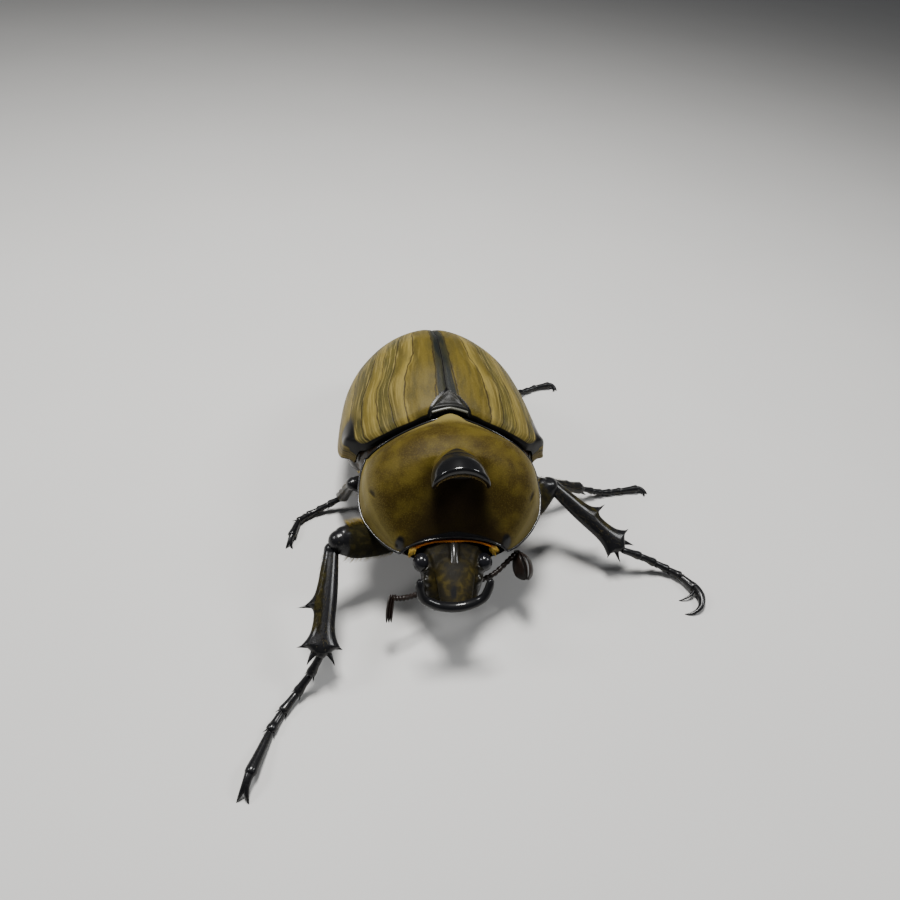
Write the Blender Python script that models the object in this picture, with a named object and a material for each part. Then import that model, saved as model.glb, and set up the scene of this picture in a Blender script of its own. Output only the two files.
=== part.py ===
"""Anubis elephant beetle, male, standing with its head toward -Y: a life-size model."""
import math
from dataclasses import dataclass

import bmesh
import bpy
from mathutils import Vector

MM = 0.001
GAP = 0.3

# Plan and heights of the body, all in millimetres above the floor
PRONOTUM_LENGTH = 18.2
PRONOTUM_REAR_SWEEP = 2.6
PRONOTUM_FRONT_SWEEP = 1.1
PRONOTUM_EDGE = 0.8
ELYTRA_FRONT = 0.8
ELYTRA_LENGTH = 37.5
ELYTRA_SHELL = 0.9
SUTURE_HALF_GAP = 0.15
THORAX_REAR = 19.0
ABDOMEN_REAR = 32.6
BODY_REAR = 37.6
EYE_PLACE = (5.2, -20.5, 12.5)
EYE_SIZE = (1.2, 1.4, 1.45)

# Legs
FORE_TOES = (3.6, 3.4, 3.3, 3.2, 6.8)
MID_TOES = (2.8, 2.3, 2.2, 2.2, 3.8)
HIND_TOES = (2.8, 2.3, 2.2, 2.2, 3.6)
TOE_REST = 0.66
THIGH_SIDE = (0.0, 0.5, 0.87)


def through(points):
    """A smooth function through (position, value) pairs, level beyond the ends."""
    places = [p for p, _ in points]
    values = [v for _, v in points]
    rises = [(values[k + 1] - values[k]) / (places[k + 1] - places[k]) for k in range(len(points) - 1)]
    slopes = [rises[0]]
    for before, after in zip(rises, rises[1:]):
        slopes.append(0.0 if before * after <= 0.0 else 2.0 * before * after / (before + after))
    slopes.append(rises[-1])

    def value(place):
        if place <= places[0]:
            return values[0]
        if place >= places[-1]:
            return values[-1]
        k = max(i for i in range(len(places) - 1) if places[i] <= place)
        width = places[k + 1] - places[k]
        u = (place - places[k]) / width
        return (values[k] * (1 + 2 * u) * (1 - u) ** 2 + slopes[k] * width * u * (1 - u) ** 2
                + values[k + 1] * u * u * (3 - 2 * u) + slopes[k + 1] * width * u * u * (u - 1))

    return value


def arc(t, squareness):
    """Across and up parts of a rounded cross-section, t from -1 at one margin to 1 at the other."""
    angle = t * math.pi / 2.0
    power = 2.0 / squareness
    across = math.copysign(abs(math.sin(angle)) ** power, t)
    return across, max(0.0, math.cos(angle)) ** power


def steps(count, start=0.0, stop=1.0):
    """Evenly spaced numbers from start to stop."""
    return [start + (stop - start) * k / count for k in range(count + 1)]


pronotum_width = through([(0, 14.3), (0.18, 15.2), (0.4, 15.5), (0.6, 15.0), (0.75, 13.7), (0.88, 11.7), (0.96, 9.9), (1, 8.6)])
pronotum_margin = through([(0, 18.7), (0.4, 16.2), (0.75, 14.6), (1, 13.4)])
pronotum_top = through([(0, 25.5), (0.2, 27.1), (0.4, 28.0), (0.55, 27.6), (0.7, 25.7), (0.85, 21.4), (1, 15.8)])
pronotum_hollow = through([(0.6, 0.0), (0.74, 2.4), (0.86, 1.2), (1, 0.0)])
prosternum_keel = through([(0, 6.4), (0.6, 5.0), (0.85, 6.2), (1, 8.8)])
elytra_width = through([(0.8, 17.0), (2, 18.4), (5, 18.9), (13, 18.5)])
elytra_top = through([(0.8, 25.3), (2, 26.4), (6, 27.5), (12, 28.5), (18, 28.2), (24, 26.4), (29.4, 23.1),
                      (34, 19.0), (37, 14.7), (38.5, 11.2)])
elytra_margin = through([(0.8, 14.6), (4, 12.6), (10, 10.8), (20, 9.8), (30, 9.8), (38.5, 10.2)])
elytra_round = through([(0.8, 2.1), (20, 1.95), (38.5, 1.75)])
elytra_taper = through([(13, 18.5), (17, 18.05), (21, 17.1), (25, 15.35), (29, 13.3), (33, 10.9), (36, 8.1),
                        (37.6, 5.3), (38.4, 2.4)])
belly = through([(0, 5.0), (6, 3.8), (20, 3.8), (28, 4.8), (34, 7.0), (38, 9.6)])


def half_width(y):
    """Half the width of the elytra at y, to their rounded end."""
    return elytra_width(y) if y <= 13.0 else elytra_taper(y)


def lean(y):
    """How far the hind body is turned to the beetle's right."""
    u = min(1.0, max(0.0, (y - 1.0) / 7.0))
    return -0.035 * max(0.0, y - 3.0) - 0.3 * u * u * (3.0 - 2.0 * u)


def finish(name, colour, roughness, metallic=0.0):
    """A plain Principled material."""
    material = bpy.data.materials.new(name)
    material.use_nodes = True
    shader = material.node_tree.nodes["Principled BSDF"]
    shader.inputs["Base Color"].default_value = (*colour, 1.0)
    shader.inputs["Roughness"].default_value = roughness
    shader.inputs["Metallic"].default_value = metallic
    return material


def clear():
    """Empty the scene."""
    for item in list(bpy.data.objects):
        bpy.data.objects.remove(item, do_unlink=True)


def keep_body(bm):
    """Keep the largest closed surface of a mesh and turn its faces outward."""
    left = set(bm.faces)
    islands = []
    while left:
        edge_of = [left.pop()]
        island = list(edge_of)
        while edge_of:
            face = edge_of.pop()
            for edge in face.edges:
                for other in edge.link_faces:
                    if other in left:
                        left.remove(other)
                        edge_of.append(other)
                        island.append(other)
        islands.append(island)
    islands.sort(key=lambda island: sum(face.calc_area() for face in island), reverse=True)
    for island in islands[1:]:
        bmesh.ops.delete(bm, geom=island, context="FACES")
    loose = [vertex for vertex in bm.verts if not vertex.link_faces]
    bmesh.ops.delete(bm, geom=loose, context="VERTS")
    bmesh.ops.recalc_face_normals(bm, faces=bm.faces)


def add_object(name, bm):
    """Turn a bmesh into a named object whose faces point outward."""
    bmesh.ops.recalc_face_normals(bm, faces=bm.faces)
    mesh = bpy.data.meshes.new(name)
    bm.to_mesh(mesh)
    bm.free()
    item = bpy.data.objects.new(name, mesh)
    bpy.context.collection.objects.link(item)
    return item


def slab(name, rows, columns, upper, lower):
    """A closed plate between two surfaces, each a function of (s along it, t across it)."""
    bm = bmesh.new()
    top = [[bm.verts.new(Vector(upper(s, t)) * MM) for t in columns] for s in rows]
    low = [[bm.verts.new(Vector(lower(s, t)) * MM) for t in columns] for s in rows]
    for j in range(len(rows) - 1):
        for i in range(len(columns) - 1):
            bm.faces.new((top[j][i], top[j][i + 1], top[j + 1][i + 1], top[j + 1][i]))
            bm.faces.new((low[j][i], low[j + 1][i], low[j + 1][i + 1], low[j][i + 1]))
        for i in (0, len(columns) - 1):
            bm.faces.new((top[j][i], top[j + 1][i], low[j + 1][i], low[j][i]))
    for j in (0, len(rows) - 1):
        for i in range(len(columns) - 1):
            bm.faces.new((top[j][i], low[j][i], low[j][i + 1], top[j][i + 1]))
    return add_object(name, bm)


def tube(name, path, radii, side, count=8, start=None, end=None, grow=0.0):
    """A tapered limb along a path, with flat ends that lie in the given planes.

    Each radius is one number or a pair, along side and across it. start and end are
    the normals of the end planes, for a joint cut at an angle."""
    points = [Vector(p) for p in path]
    ways = []
    for k in range(len(points)):
        ahead = points[min(k + 1, len(points) - 1)]
        behind = points[max(k - 1, 0)]
        ways.append((ahead - behind).normalized())
    if grow:
        points[0] = points[0] - ways[0] * grow
        points[-1] = points[-1] + ways[-1] * grow
    bm = bmesh.new()
    loops = []
    for k, (point, way, size) in enumerate(zip(points, ways, radii)):
        along, across = size if isinstance(size, tuple) else (size, size)
        first = Vector(side)
        first = (first - way * first.dot(way)).normalized()
        second = way.cross(first)
        plane = start if k == 0 else end if k == len(points) - 1 else None
        loop = []
        for i in range(count):
            turn = 2.0 * math.pi * (i + 0.5) / count
            spoke = first * (along + grow) * math.cos(turn) + second * (across + grow) * math.sin(turn)
            if plane is not None:
                normal = Vector(plane)
                spoke = spoke - way * (spoke.dot(normal) / way.dot(normal))
            loop.append(bm.verts.new((point + spoke) * MM))
        loops.append(loop)
    for near, far in zip(loops, loops[1:]):
        for i in range(count):
            bm.faces.new((near[i], near[(i + 1) % count], far[(i + 1) % count], far[i]))
    bm.faces.new(loops[0])
    bm.faces.new(loops[-1])
    return add_object(name, bm)


def ball(name, centre, size, rows=8, grow=0.0):
    """A rounded body with half-sizes along x, y and z."""
    bm = bmesh.new()
    bmesh.ops.create_uvsphere(bm, u_segments=rows * 2, v_segments=rows, radius=1.0)
    bmesh.ops.scale(bm, vec=Vector([(half + grow) * MM for half in size]), verts=bm.verts)
    bmesh.ops.translate(bm, vec=Vector(centre) * MM, verts=bm.verts)
    return add_object(name, bm)


def bake(item):
    """Apply an object's modifiers and keep its one body."""
    graph = bpy.context.evaluated_depsgraph_get()
    mesh = bpy.data.meshes.new_from_object(item.evaluated_get(graph))
    item.modifiers.clear()
    bm = bmesh.new()
    bm.from_mesh(mesh)
    bmesh.ops.remove_doubles(bm, verts=bm.verts, dist=2e-6)
    bmesh.ops.dissolve_degenerate(bm, edges=bm.edges, dist=1e-6)
    keep_body(bm)
    bm.to_mesh(mesh)
    bm.free()
    item.data = mesh


def combine(item, tools, operation, solver="EXACT"):
    """Join tools to an object, or cut them from it, by one Boolean on their collection."""
    group = bpy.data.collections.new(item.name + "_tools")
    bpy.context.scene.collection.children.link(group)
    for tool in tools:
        for home in list(tool.users_collection):
            home.objects.unlink(tool)
        group.objects.link(tool)
    step = item.modifiers.new(operation.lower(), "BOOLEAN")
    step.operation = operation
    step.operand_type = "COLLECTION"
    step.collection = group
    step.solver = solver
    bake(item)
    for tool in list(group.objects):
        bpy.data.objects.remove(tool, do_unlink=True)
    bpy.data.collections.remove(group)
    return item


def fuse(item, parts):
    """Join parts to an object."""
    return combine(item, parts, "UNION")


def carve(item, cutters, solver="EXACT"):
    """Cut cutters out of an object, one after another."""
    for cutter in cutters:
        combine(item, [cutter], "DIFFERENCE", solver)
    return item


def set_look(item, look):
    """Give an object its material and smooth shading with crisp edges."""
    item.data.materials.clear()
    item.data.materials.append(look)
    item.data.shade_smooth()
    item.data.set_sharp_from_angle(angle=math.radians(38.0))


def pronotum_point(s, t):
    """A point of the pronotum's upper surface."""
    across, up = arc(t, 2.15)
    x = pronotum_width(s) * across
    y = -PRONOTUM_LENGTH * s - sweep(s) * across * across
    z = pronotum_margin(s) + (pronotum_top(s) - pronotum_margin(s)) * up
    return x, y, z - pronotum_hollow(s) * math.exp(-(x / 4.6) ** 4)


def sweep(s):
    """How far the margin lies ahead of the midline."""
    return PRONOTUM_REAR_SWEEP + (PRONOTUM_FRONT_SWEEP - PRONOTUM_REAR_SWEEP) * s


def build_pronotum():
    """The shield over the forebody."""

    def under(s, t):
        x, y, z = pronotum_point(s, t)
        return x * 0.985, y, pronotum_margin(s) - PRONOTUM_EDGE

    rows = [0.0, 0.05] + steps(4, 0.18, 0.62) + steps(5, 0.68, 0.94) + [1.0]
    return slab("pronotum", rows, steps(16, -1.0, 1.0), pronotum_point, under)


def build_prosternum():
    """The underside of the forebody, from the shield's edge down to the breast keel."""

    def upper(s, t):
        across, _ = arc(t, 1.5)
        x = pronotum_width(s) * 0.955 * across
        return x, -PRONOTUM_LENGTH * s - sweep(s) * across * across, pronotum_margin(s) - PRONOTUM_EDGE - GAP

    def lower(s, t):
        x, y, z = upper(s, t)
        _, up = arc(t, 1.5)
        return x, y, z - 0.5 - (z - 0.5 - prosternum_keel(s)) * up

    return slab("prosternum", steps(8), steps(12, -1.0, 1.0), upper, lower)


def build_horn(grow=0.0):
    """The short blunt horn that overhangs the front of the pronotum."""
    width = through([(0, 4.0), (0.5, 4.7), (1, 4.4)])
    corner = through([(0, 24.4), (0.5, 25.4), (1, 25.8)])
    ridge = through([(0, 27.3), (0.35, 28.7), (0.7, 29.4), (1, 29.1)])
    hollow = through([(0, 23.0), (0.5, 24.8), (0.8, 26.5), (1, 27.6)])
    lead = PRONOTUM_LENGTH * 0.54

    def place(s, t):
        across, up = arc(t, 1.9)
        y = -lead - (16.5 - lead) * s - grow * (2.0 * s - 1.0)
        return 0.3 * s + (width(s) + grow) * across, y + 0.3 * s * up, up

    def upper(s, t):
        x, y, up = place(s, t)
        return x, y, corner(s) + (ridge(s) - corner(s)) * up + grow

    def lower(s, t):
        x, y, up = place(s, t)
        return x - 0.03 * (x - 0.3 * s), y, corner(s) - 0.6 + (hollow(s) - corner(s) + 0.6) * up - grow

    return slab("pronotum_horn", steps(6), steps(12, -1.0, 1.0), upper, lower)


def build_elytron(hand):
    """One wing cover: a curved shell from the suture to the side margin."""

    def surface(inset):
        def point(s, t):
            y = ELYTRA_FRONT + ELYTRA_LENGTH * math.sin(s * math.pi / 2.0)
            across, up = arc(t, elytra_round(y))
            x = max(SUTURE_HALF_GAP, (half_width(y) - inset) * across)
            rise = elytra_top(y) - inset - elytra_margin(y)
            return hand * x + lean(y), y, elytra_margin(y) + max(0.35, rise) * up
        return point

    name = "elytron_left" if hand > 0 else "elytron_right"
    rows = [0.0, 0.014, 0.04] + steps(12, 0.1, 0.965) + [1.0]
    return slab(name, rows, steps(9), surface(0.0), surface(ELYTRA_SHELL))


def trunk_point(y, t, floor, square):
    """A point of the body under the wing covers; floor chooses its lower side."""
    inset = ELYTRA_SHELL + GAP + 0.15
    if not floor:
        across, up = arc(t, elytra_round(y))
        rise = elytra_top(y) - inset - elytra_margin(y)
        return (half_width(y) - inset - 0.05) * across + lean(y), elytra_margin(y) + rise * up
    across, up = arc(t, square)
    rim = elytra_margin(y) - 0.8
    return (half_width(y) - inset - 0.2) * across + lean(y), rim - (rim - belly(y)) * up


def build_thorax():
    """The middle and hind breast, which carries the wing covers and the last two leg pairs."""

    def surface(floor):
        def point(s, t):
            y = GAP + (THORAX_REAR - GAP) * s
            x, z = trunk_point(max(y - 1.1 * (1.0 - s) ** 5, ELYTRA_FRONT), t, floor, 1.3 + 0.5 * s)
            z -= 0.0 if floor else 0.4 * max(0.0, 1.0 - s * 4.0)
            if s == 0.0:
                x, z = x * 0.84, z if floor else z - 0.3
            bend = PRONOTUM_REAR_SWEEP * (x / 14.3) ** 2 * (1.0 - s) ** 8 * (1.0 if s == 0.0 else 0.45)
            return x, y - bend, z
        return point

    rows = [0.0, 0.03, 0.09] + steps(5, 0.2, 1.0)
    return slab("thorax", rows, steps(14, -1.0, 1.0), surface(False), surface(True))


def build_abdomen():
    """The hind body under the wing covers."""

    def surface(floor):
        def point(s, t):
            y = THORAX_REAR + GAP + (ABDOMEN_REAR - THORAX_REAR - GAP) * s
            x, z = trunk_point(y, t, floor, 1.8)
            return x, y, z
        return point

    return slab("abdomen", steps(5), steps(14, -1.0, 1.0), surface(False), surface(True))


def build_pygidium():
    """The last plate, which closes the hind end below the wing covers."""

    def surface(floor):
        def point(s, t):
            y = ABDOMEN_REAR + GAP + (BODY_REAR - ABDOMEN_REAR - GAP) * math.sin(s * math.pi / 2.0)
            x, z = trunk_point(y, t, floor, 1.8)
            return x, y, z
        return point

    return slab("pygidium", steps(4, 0.0, 0.96), steps(10, -1.0, 1.0), surface(False), surface(True))


def build_scutellum(grow=0.0):
    """The small triangular plate between the bases of the wing covers."""

    def place(s, t):
        y = 0.75 - grow + (5.6 + 2.2 * grow) * s
        return ((3.5 - 3.1 * s ** 1.2) + grow * 1.3) * t, y

    def upper(s, t):
        x, y = place(s, t)
        return x, y, elytra_top(min(max(y, 1.6), 6.3)) + 0.1 - 0.1 * t * t + grow

    def lower(s, t):
        x, y = place(s, t)
        return x, y, elytra_top(min(max(y, 1.6), 6.3)) - 0.72 - grow

    return slab("scutellum", steps(4), steps(4, -1.0, 1.0), upper, lower)


def build_head():
    """The head, bent down in front of the pronotum."""
    width = through([(0, 5.2), (0.3, 5.5), (0.6, 5.0), (1, 3.9)])
    brow_y = through([(0, -18.5), (0.35, -21.2), (0.7, -23.4), (1, -24.9)])
    brow_z = through([(0, 15.0), (0.35, 14.2), (0.7, 11.6), (1, 8.8)])
    chin_y = through([(0, -18.5), (0.5, -21.2), (1, -24.2)])
    chin_z = through([(0, 9.0), (0.5, 7.6), (1, 7.4)])

    def surface(brow):
        def point(s, t):
            across, up = arc(t, 2.4)
            x = width(s) * across
            rim_y = 0.5 * (brow_y(s) + chin_y(s))
            rim_z = chin_z(s) + 0.4 * (brow_z(s) - chin_z(s)) + (0.25 if brow else -0.25)
            y, z = (brow_y(s), brow_z(s)) if brow else (chin_y(s), chin_z(s))
            bend = PRONOTUM_FRONT_SWEEP * (x / 9.05) ** 2 * (1.0 - s)
            return x, rim_y + (y - rim_y) * up - bend, rim_z + (z - rim_z) * up
        return point

    return slab("head", steps(8), steps(12, -1.0, 1.0), surface(True), surface(False))


def build_head_horn(grow=0.0):
    """The forked horn: a shaft down the forehead that ends in two upturned prongs."""
    shaft = tube("head_horn", [(0, -20.4, 12.6), (-0.1, -22.4, 12.9), (-0.2, -24.6, 12.6), (-0.3, -26.8, 12.1),
                               (-0.4, -28.4, 11.9)],
                 [(2.6, 1.6), (2.7, 1.6), (2.5, 1.4), (2.2, 1.1), (1.7, 0.7)], (1, 0, 0), 10, grow=grow)
    if grow:
        return shaft
    prongs = []
    sizes = []
    for k in steps(12, -1.0, 1.0):
        lift = abs(k) ** 2.4
        prongs.append((-0.6 + 5.75 * math.copysign(abs(k) ** 0.85, k), -28.6 + 1.6 * lift, 11.8 + 3.9 * lift))
        sizes.append(0.84 - 0.5 * abs(k) ** 2.4)
    fork = tube("fork", prongs, sizes, (0, -1, 0.6), 8)
    return fuse(shaft, [fork])


def build_eye(hand, grow=0.0):
    """One eye."""
    name = "eye_left" if hand > 0 else "eye_right"
    return ball(name, (hand * EYE_PLACE[0], EYE_PLACE[1], EYE_PLACE[2]), EYE_SIZE, 6, grow)


def build_right_antenna(grow=0.0):
    """The right feeler, with its club folded shut."""
    stalk = tube("antenna_right", [(-4.0, -22.6, 8.8), (-6.2, -24.0, 8.8), (-8.3, -25.0, 9.4), (-10.0, -25.3, 9.9)],
                 [0.42, 0.36, 0.34, 0.34], (0, 0, 1), 6, grow=grow)
    if grow:
        return stalk
    club = tube("club", [(-9.9, -25.1, 10.2), (-10.2, -25.5, 9.4), (-10.4, -26.3, 8.1), (-10.5, -27.0, 6.9), (-10.5, -27.3, 6.4)],
                [(0.3, 0.3), (0.55, 0.45), (0.62, 0.52), (0.58, 0.48), (0.25, 0.22)], (1, 0, 0), 6)
    return fuse(stalk, [club])


def build_left_antenna(grow=0.0):
    """The left feeler, with the three plates of its club spread like a fan."""
    stalk = tube("antenna_left", [(4.4, -22.0, 9.4), (6.4, -21.8, 9.5), (8.3, -20.8, 9.6), (10.2, -19.95, 9.7)],
                 [0.42, 0.36, 0.34, 0.36], (0, 0, 1), 6, grow=grow)
    if grow:
        return stalk
    plates = []
    for k, turn in enumerate((-48.0, 0.0, 48.0)):
        way = Vector((math.cos(math.radians(turn)), 0.68 * math.sin(math.radians(turn)), 0.73 * math.sin(math.radians(turn))))
        root = Vector((9.9, -19.95, 9.75))
        path = [root + way * reach for reach in (0.0, 1.0, 2.3, 3.3, 3.8)]
        plates.append(tube("plate_%d" % k, path, [(0.3, 0.3), (0.75, 0.28), (0.95, 0.28), (0.75, 0.27), (0.3, 0.25)],
                           (0.0, -0.73, 0.68), 6))
    return fuse(stalk, plates)


def build_mandible(hand, grow=0.0):
    """One small jaw under the front of the head."""
    name = "mandible_left" if hand > 0 else "mandible_right"
    path = [(hand * 2.9, -22.9, 8.4), (hand * 3.1, -24.2, 8.0), (hand * 2.9, -25.3, 8.0), (hand * 2.5, -25.9, 8.3)]
    return tube(name, path, [(0.8, 0.6), (0.8, 0.6), (0.6, 0.45), (0.25, 0.2)], (1, 0, 0), 6, grow=grow)


def build_mouthparts(grow=0.0):
    """The lower lip with its two pairs of palps."""
    lip = ball("mouthparts", (0, -22.0, 7.4), (2.0, 2.0, 1.0), 6, grow)
    if grow:
        return lip
    palps = []
    for hand in (-1, 1):
        palps.append(tube("outer_palp", [(hand * 1.1, -22.4, 7.0), (hand * 2.2, -23.2, 6.2), (hand * 2.8, -24.0, 5.6),
                                         (hand * 3.0, -24.8, 5.3)], [0.36, 0.36, 0.4, 0.26], (0, 0, 1), 6))
        palps.append(tube("inner_palp", [(hand * 0.6, -23.0, 6.9), (hand * 0.9, -24.1, 6.1), (hand * 0.9, -25.1, 5.8)],
                          [0.34, 0.32, 0.22], (0, 0, 1), 6))
    return fuse(lip, palps)


@dataclass(frozen=True)
class Leg:
    """Where one leg's joints are, in millimetres, and which way its toes point.

    headings are the directions of the five toe joints and the claws on the floor
    plan, in degrees from +X; edge points to the side with the large teeth; toes are
    the ends of the toe joints where they are not laid out from the headings."""

    name: str
    pair: str
    root: tuple
    hip: tuple
    knee: tuple
    ankle: tuple
    headings: tuple
    edge: tuple
    toe_lift: float = 0.0
    toes: tuple = ()


LEGS = (
    Leg("right", "fore", (-3.6, -11.6, 8.4), (-7.8, -12.6, 8.4), (-18.9, -16.9, 13.7), (-21.2, -32.8, 5.4),
        (-135, -138, -128, -118, -108, -96), (-1.0, 0.0, 0.2), 1.0),
    Leg("left", "fore", (3.6, -11.6, 8.4), (7.8, -12.4, 8.0), (18.7, -4.7, 13.7), (31.7, -13.1, 5.7),
        (-64, -150), (0.35, 0.8, 0.5), 1.0,
        ((35.5, -13.75, 4.0), (38.6, -14.15, 2.4), (41.2, -14.9, 1.3), (43.3, -16.3, 1.1), (45.05, -19.0, 1.2))),
    Leg("right", "mid", (-3.4, 4.2, 6.6), (-7.2, 3.4, 5.2), (-16.6, -4.6, 14.0), (-18.7, 2.2, 2.9),
        (-165, -162, -152, -138, -104, -92), (-0.9, 0.5, 0.0), 0.3),
    Leg("left", "mid", (3.4, 4.6, 6.6), (7.2, 4.4, 5.2), (17.8, 0.9, 8.8), (28.9, 3.9, 3.0),
        (11, 10, 9, 8, 6, -80), (0.2, 0.9, 0.4), 0.3),
    Leg("right", "hind", (-3.4, 15.6, 6.2), (-7.0, 16.2, 4.6), (-17.4, 20.2, 7.8), (-14.2, 33.0, 2.8),
        (78, 75, 74, 72, 70, 40), (-0.9, 0.0, 0.4), 0.3),
    Leg("left", "hind", (3.4, 15.6, 6.2), (7.0, 16.2, 4.6), (17.0, 21.0, 8.6), (18.4, 34.2, 3.0),
        (38, 34, 31, 28, 12, -110), (0.9, 0.0, 0.4), 0.3),
)


@dataclass(frozen=True)
class LegSizes:
    """Thicknesses and lengths shared by both legs of one pair, in millimetres."""

    coxa: float
    femur: tuple
    joint: float
    tibia: tuple
    toes: tuple
    foot: float
    claw: float


PAIRS = {
    "fore": LegSizes(2.7, (2.9, 2.0), 1.55, (1.4, 1.1), FORE_TOES, 0.84, 3.3),
    "mid": LegSizes(2.4, (2.3, 1.7), 1.25, (1.2, 1.0), MID_TOES, 0.74, 2.4),
    "hind": LegSizes(2.4, (2.3, 1.7), 1.25, (1.25, 1.0), HIND_TOES, 0.74, 2.4),
}


def joint_plane(before, place, after):
    """The normal of the plane that halves the bend at a joint."""
    return ((Vector(place) - Vector(before)).normalized() + (Vector(after) - Vector(place)).normalized()).normalized()


def shifted(place, way, plane, distance):
    """The point on a limb's axis that lies a distance past a joint's plane."""
    return Vector(place) + Vector(way) * (distance / Vector(way).dot(plane))


def toe_path(leg, sizes):
    """The joints of the toes, from the ankle to the end of the last one."""
    if leg.toes:
        return [Vector(leg.ankle)] + [Vector(spot) for spot in leg.toes]
    place = Vector(leg.ankle)
    stops = [place.copy()]
    heights = (0.5, 0.12, 0.0, 0.0)
    for k, (length, heading) in enumerate(zip(sizes.toes, leg.headings)):
        rest = TOE_REST + (leg.ankle[2] - TOE_REST) * heights[k] if k < 4 else TOE_REST + leg.toe_lift
        drop = rest - place.z
        flat = math.sqrt(max(0.2, length * length - drop * drop))
        turn = math.radians(heading)
        place = place + Vector((math.cos(turn) * flat, math.sin(turn) * flat, drop))
        stops.append(place.copy())
    return stops


def build_coxa(leg, sizes, grow=0.0):
    """The hip joint's socket piece, sunk in the breast."""
    plane = joint_plane(leg.root, leg.hip, leg.knee)
    way = (Vector(leg.hip) - Vector(leg.root)).normalized()
    end = shifted(leg.hip, way, plane, -GAP / 2) + way * (1.2 if grow else 0.0)
    root = Vector(leg.root)
    path = [root, root.lerp(end, 0.35), root.lerp(end, 0.75), end]
    thick = sizes.coxa
    return tube("%s_coxa_%s" % (leg.pair, leg.name), path, [thick * 0.7, thick, thick * 0.9, thick * 0.62],
                (0, 0, 1), 8, end=plane if not grow else None, grow=grow)


def folded(leg):
    """Whether the shin turns back so sharply at the knee that the thigh is hollowed for it."""
    return (Vector(leg.knee) - Vector(leg.hip)).angle(Vector(leg.ankle) - Vector(leg.knee)) > math.radians(100.0)


def build_femur(leg, sizes, grow=0.0):
    """The thigh, thickest past its middle."""
    hip, knee = joint_plane(leg.root, leg.hip, leg.knee), joint_plane(leg.hip, leg.knee, leg.ankle)
    way = (Vector(leg.knee) - Vector(leg.hip)).normalized()
    start = shifted(leg.hip, way, hip, GAP / 2)
    if folded(leg):
        knee, end = None, Vector(leg.knee)
    else:
        end = shifted(leg.knee, way, knee, -GAP / 2)
    if grow:
        start, end = start - way, end + way
    tall, thin = sizes.femur
    shape = through([(0, 0.6), (0.12, 0.72), (0.45, 1.0), (0.75, 0.86), (1, sizes.joint / thin)])
    marks = [0.0, 0.1, 0.24, 0.42, 0.6, 0.76, 0.88, 1.0]
    flat = through([(0, 0.9), (0.45, 1.0), (0.8, 0.85), (1, sizes.joint / shape(1.0) / tall)])
    radii = [(tall * shape(k) * flat(k), thin * shape(k)) for k in marks]
    return tube("%s_femur_%s" % (leg.pair, leg.name), [start.lerp(end, k) for k in marks], radii, THIGH_SIDE, 8,
                start=None if grow else hip, end=None if grow else knee, grow=grow)


def build_tibia(leg, sizes, grow=0.0):
    """The shin with the teeth and spurs that a digging leg has."""
    toes = toe_path(leg, sizes)
    knee, ankle = joint_plane(leg.hip, leg.knee, leg.ankle), joint_plane(leg.knee, leg.ankle, toes[1])
    way = (Vector(leg.ankle) - Vector(leg.knee)).normalized()
    end = shifted(leg.ankle, way, ankle, -GAP / 2)
    if folded(leg):
        knee, start = None, Vector(leg.knee) - way * 0.9
    else:
        start = shifted(leg.knee, way, knee, GAP / 2)
    wide, thin = sizes.tibia
    edge = Vector(leg.edge)
    edge = (edge - way * edge.dot(way)).normalized()
    face = way.cross(edge)
    if leg.pair == "fore":
        marks = [0.0, 0.08, 0.2, 0.4, 0.6, 0.78, 0.92, 1.0]
        shape = through([(0, 1.0), (0.1, 0.85), (0.35, 0.98), (0.7, 1.12), (0.92, 1.25), (1, 0.8)])
        teeth = [(0.57, 1, 2.1, 0.8, 0.15), (0.88, 1, 2.2, 0.85, 0.15), (0.93, 1, 2.4, 0.55, 0.85),
                 (0.88, -1, 1.5, 0.55, 0.1), (0.92, -1, 2.4, 0.4, 0.95)]
    else:
        marks = [0.0, 0.1, 0.28, 0.42, 0.5, 0.64, 0.74, 0.9, 1.0]
        shape = through([(0, 1.0), (0.12, 0.85), (0.4, 1.15), (0.5, 1.0), (0.7, 1.3), (0.76, 1.12), (0.93, 1.6), (1, 1.0)])
        teeth = [(0.40, 1, 1.1, 0.5, 0.3), (0.68, 1, 1.2, 0.55, 0.3), (0.93, 1, 1.6, 0.55, 0.9),
                 (0.96, -1, 2.2, 0.4, 1.6), (0.93, 0, 1.5, 0.5, 1.0)]
    radii = [(wide * shape(k), thin * (0.6 + 0.4 * shape(k))) for k in marks]
    radii[0] = (sizes.joint, sizes.joint) if knee is not None else (sizes.joint * 0.7, sizes.joint * 0.7)
    radii[-1] = (sizes.foot * 1.25, sizes.foot * 1.1)
    item = tube("%s_tibia_%s" % (leg.pair, leg.name), [start.lerp(end, k) for k in marks], radii, tuple(edge), 8,
                start=knee, end=None if grow else ankle, grow=grow)
    if grow:
        return item
    spikes = []
    for k, (place, hand, length, thick, lean) in enumerate(teeth):
        out = edge * hand if hand else face * (1 if face.z > 0 else -1)
        root = start.lerp(end, place) + out * wide * shape(place) * 0.35
        aim = (out + way * lean).normalized()
        reach = length + wide * shape(place) * 0.65
        spikes.append(tube("tooth_%d" % k, [root, root + aim * reach * 0.55, root + aim * reach],
                           [(thick, thick), (thick * 0.72, thick * 0.6), (0.1, 0.1)], tuple(way), 5))
    return fuse(item, spikes)


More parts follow.
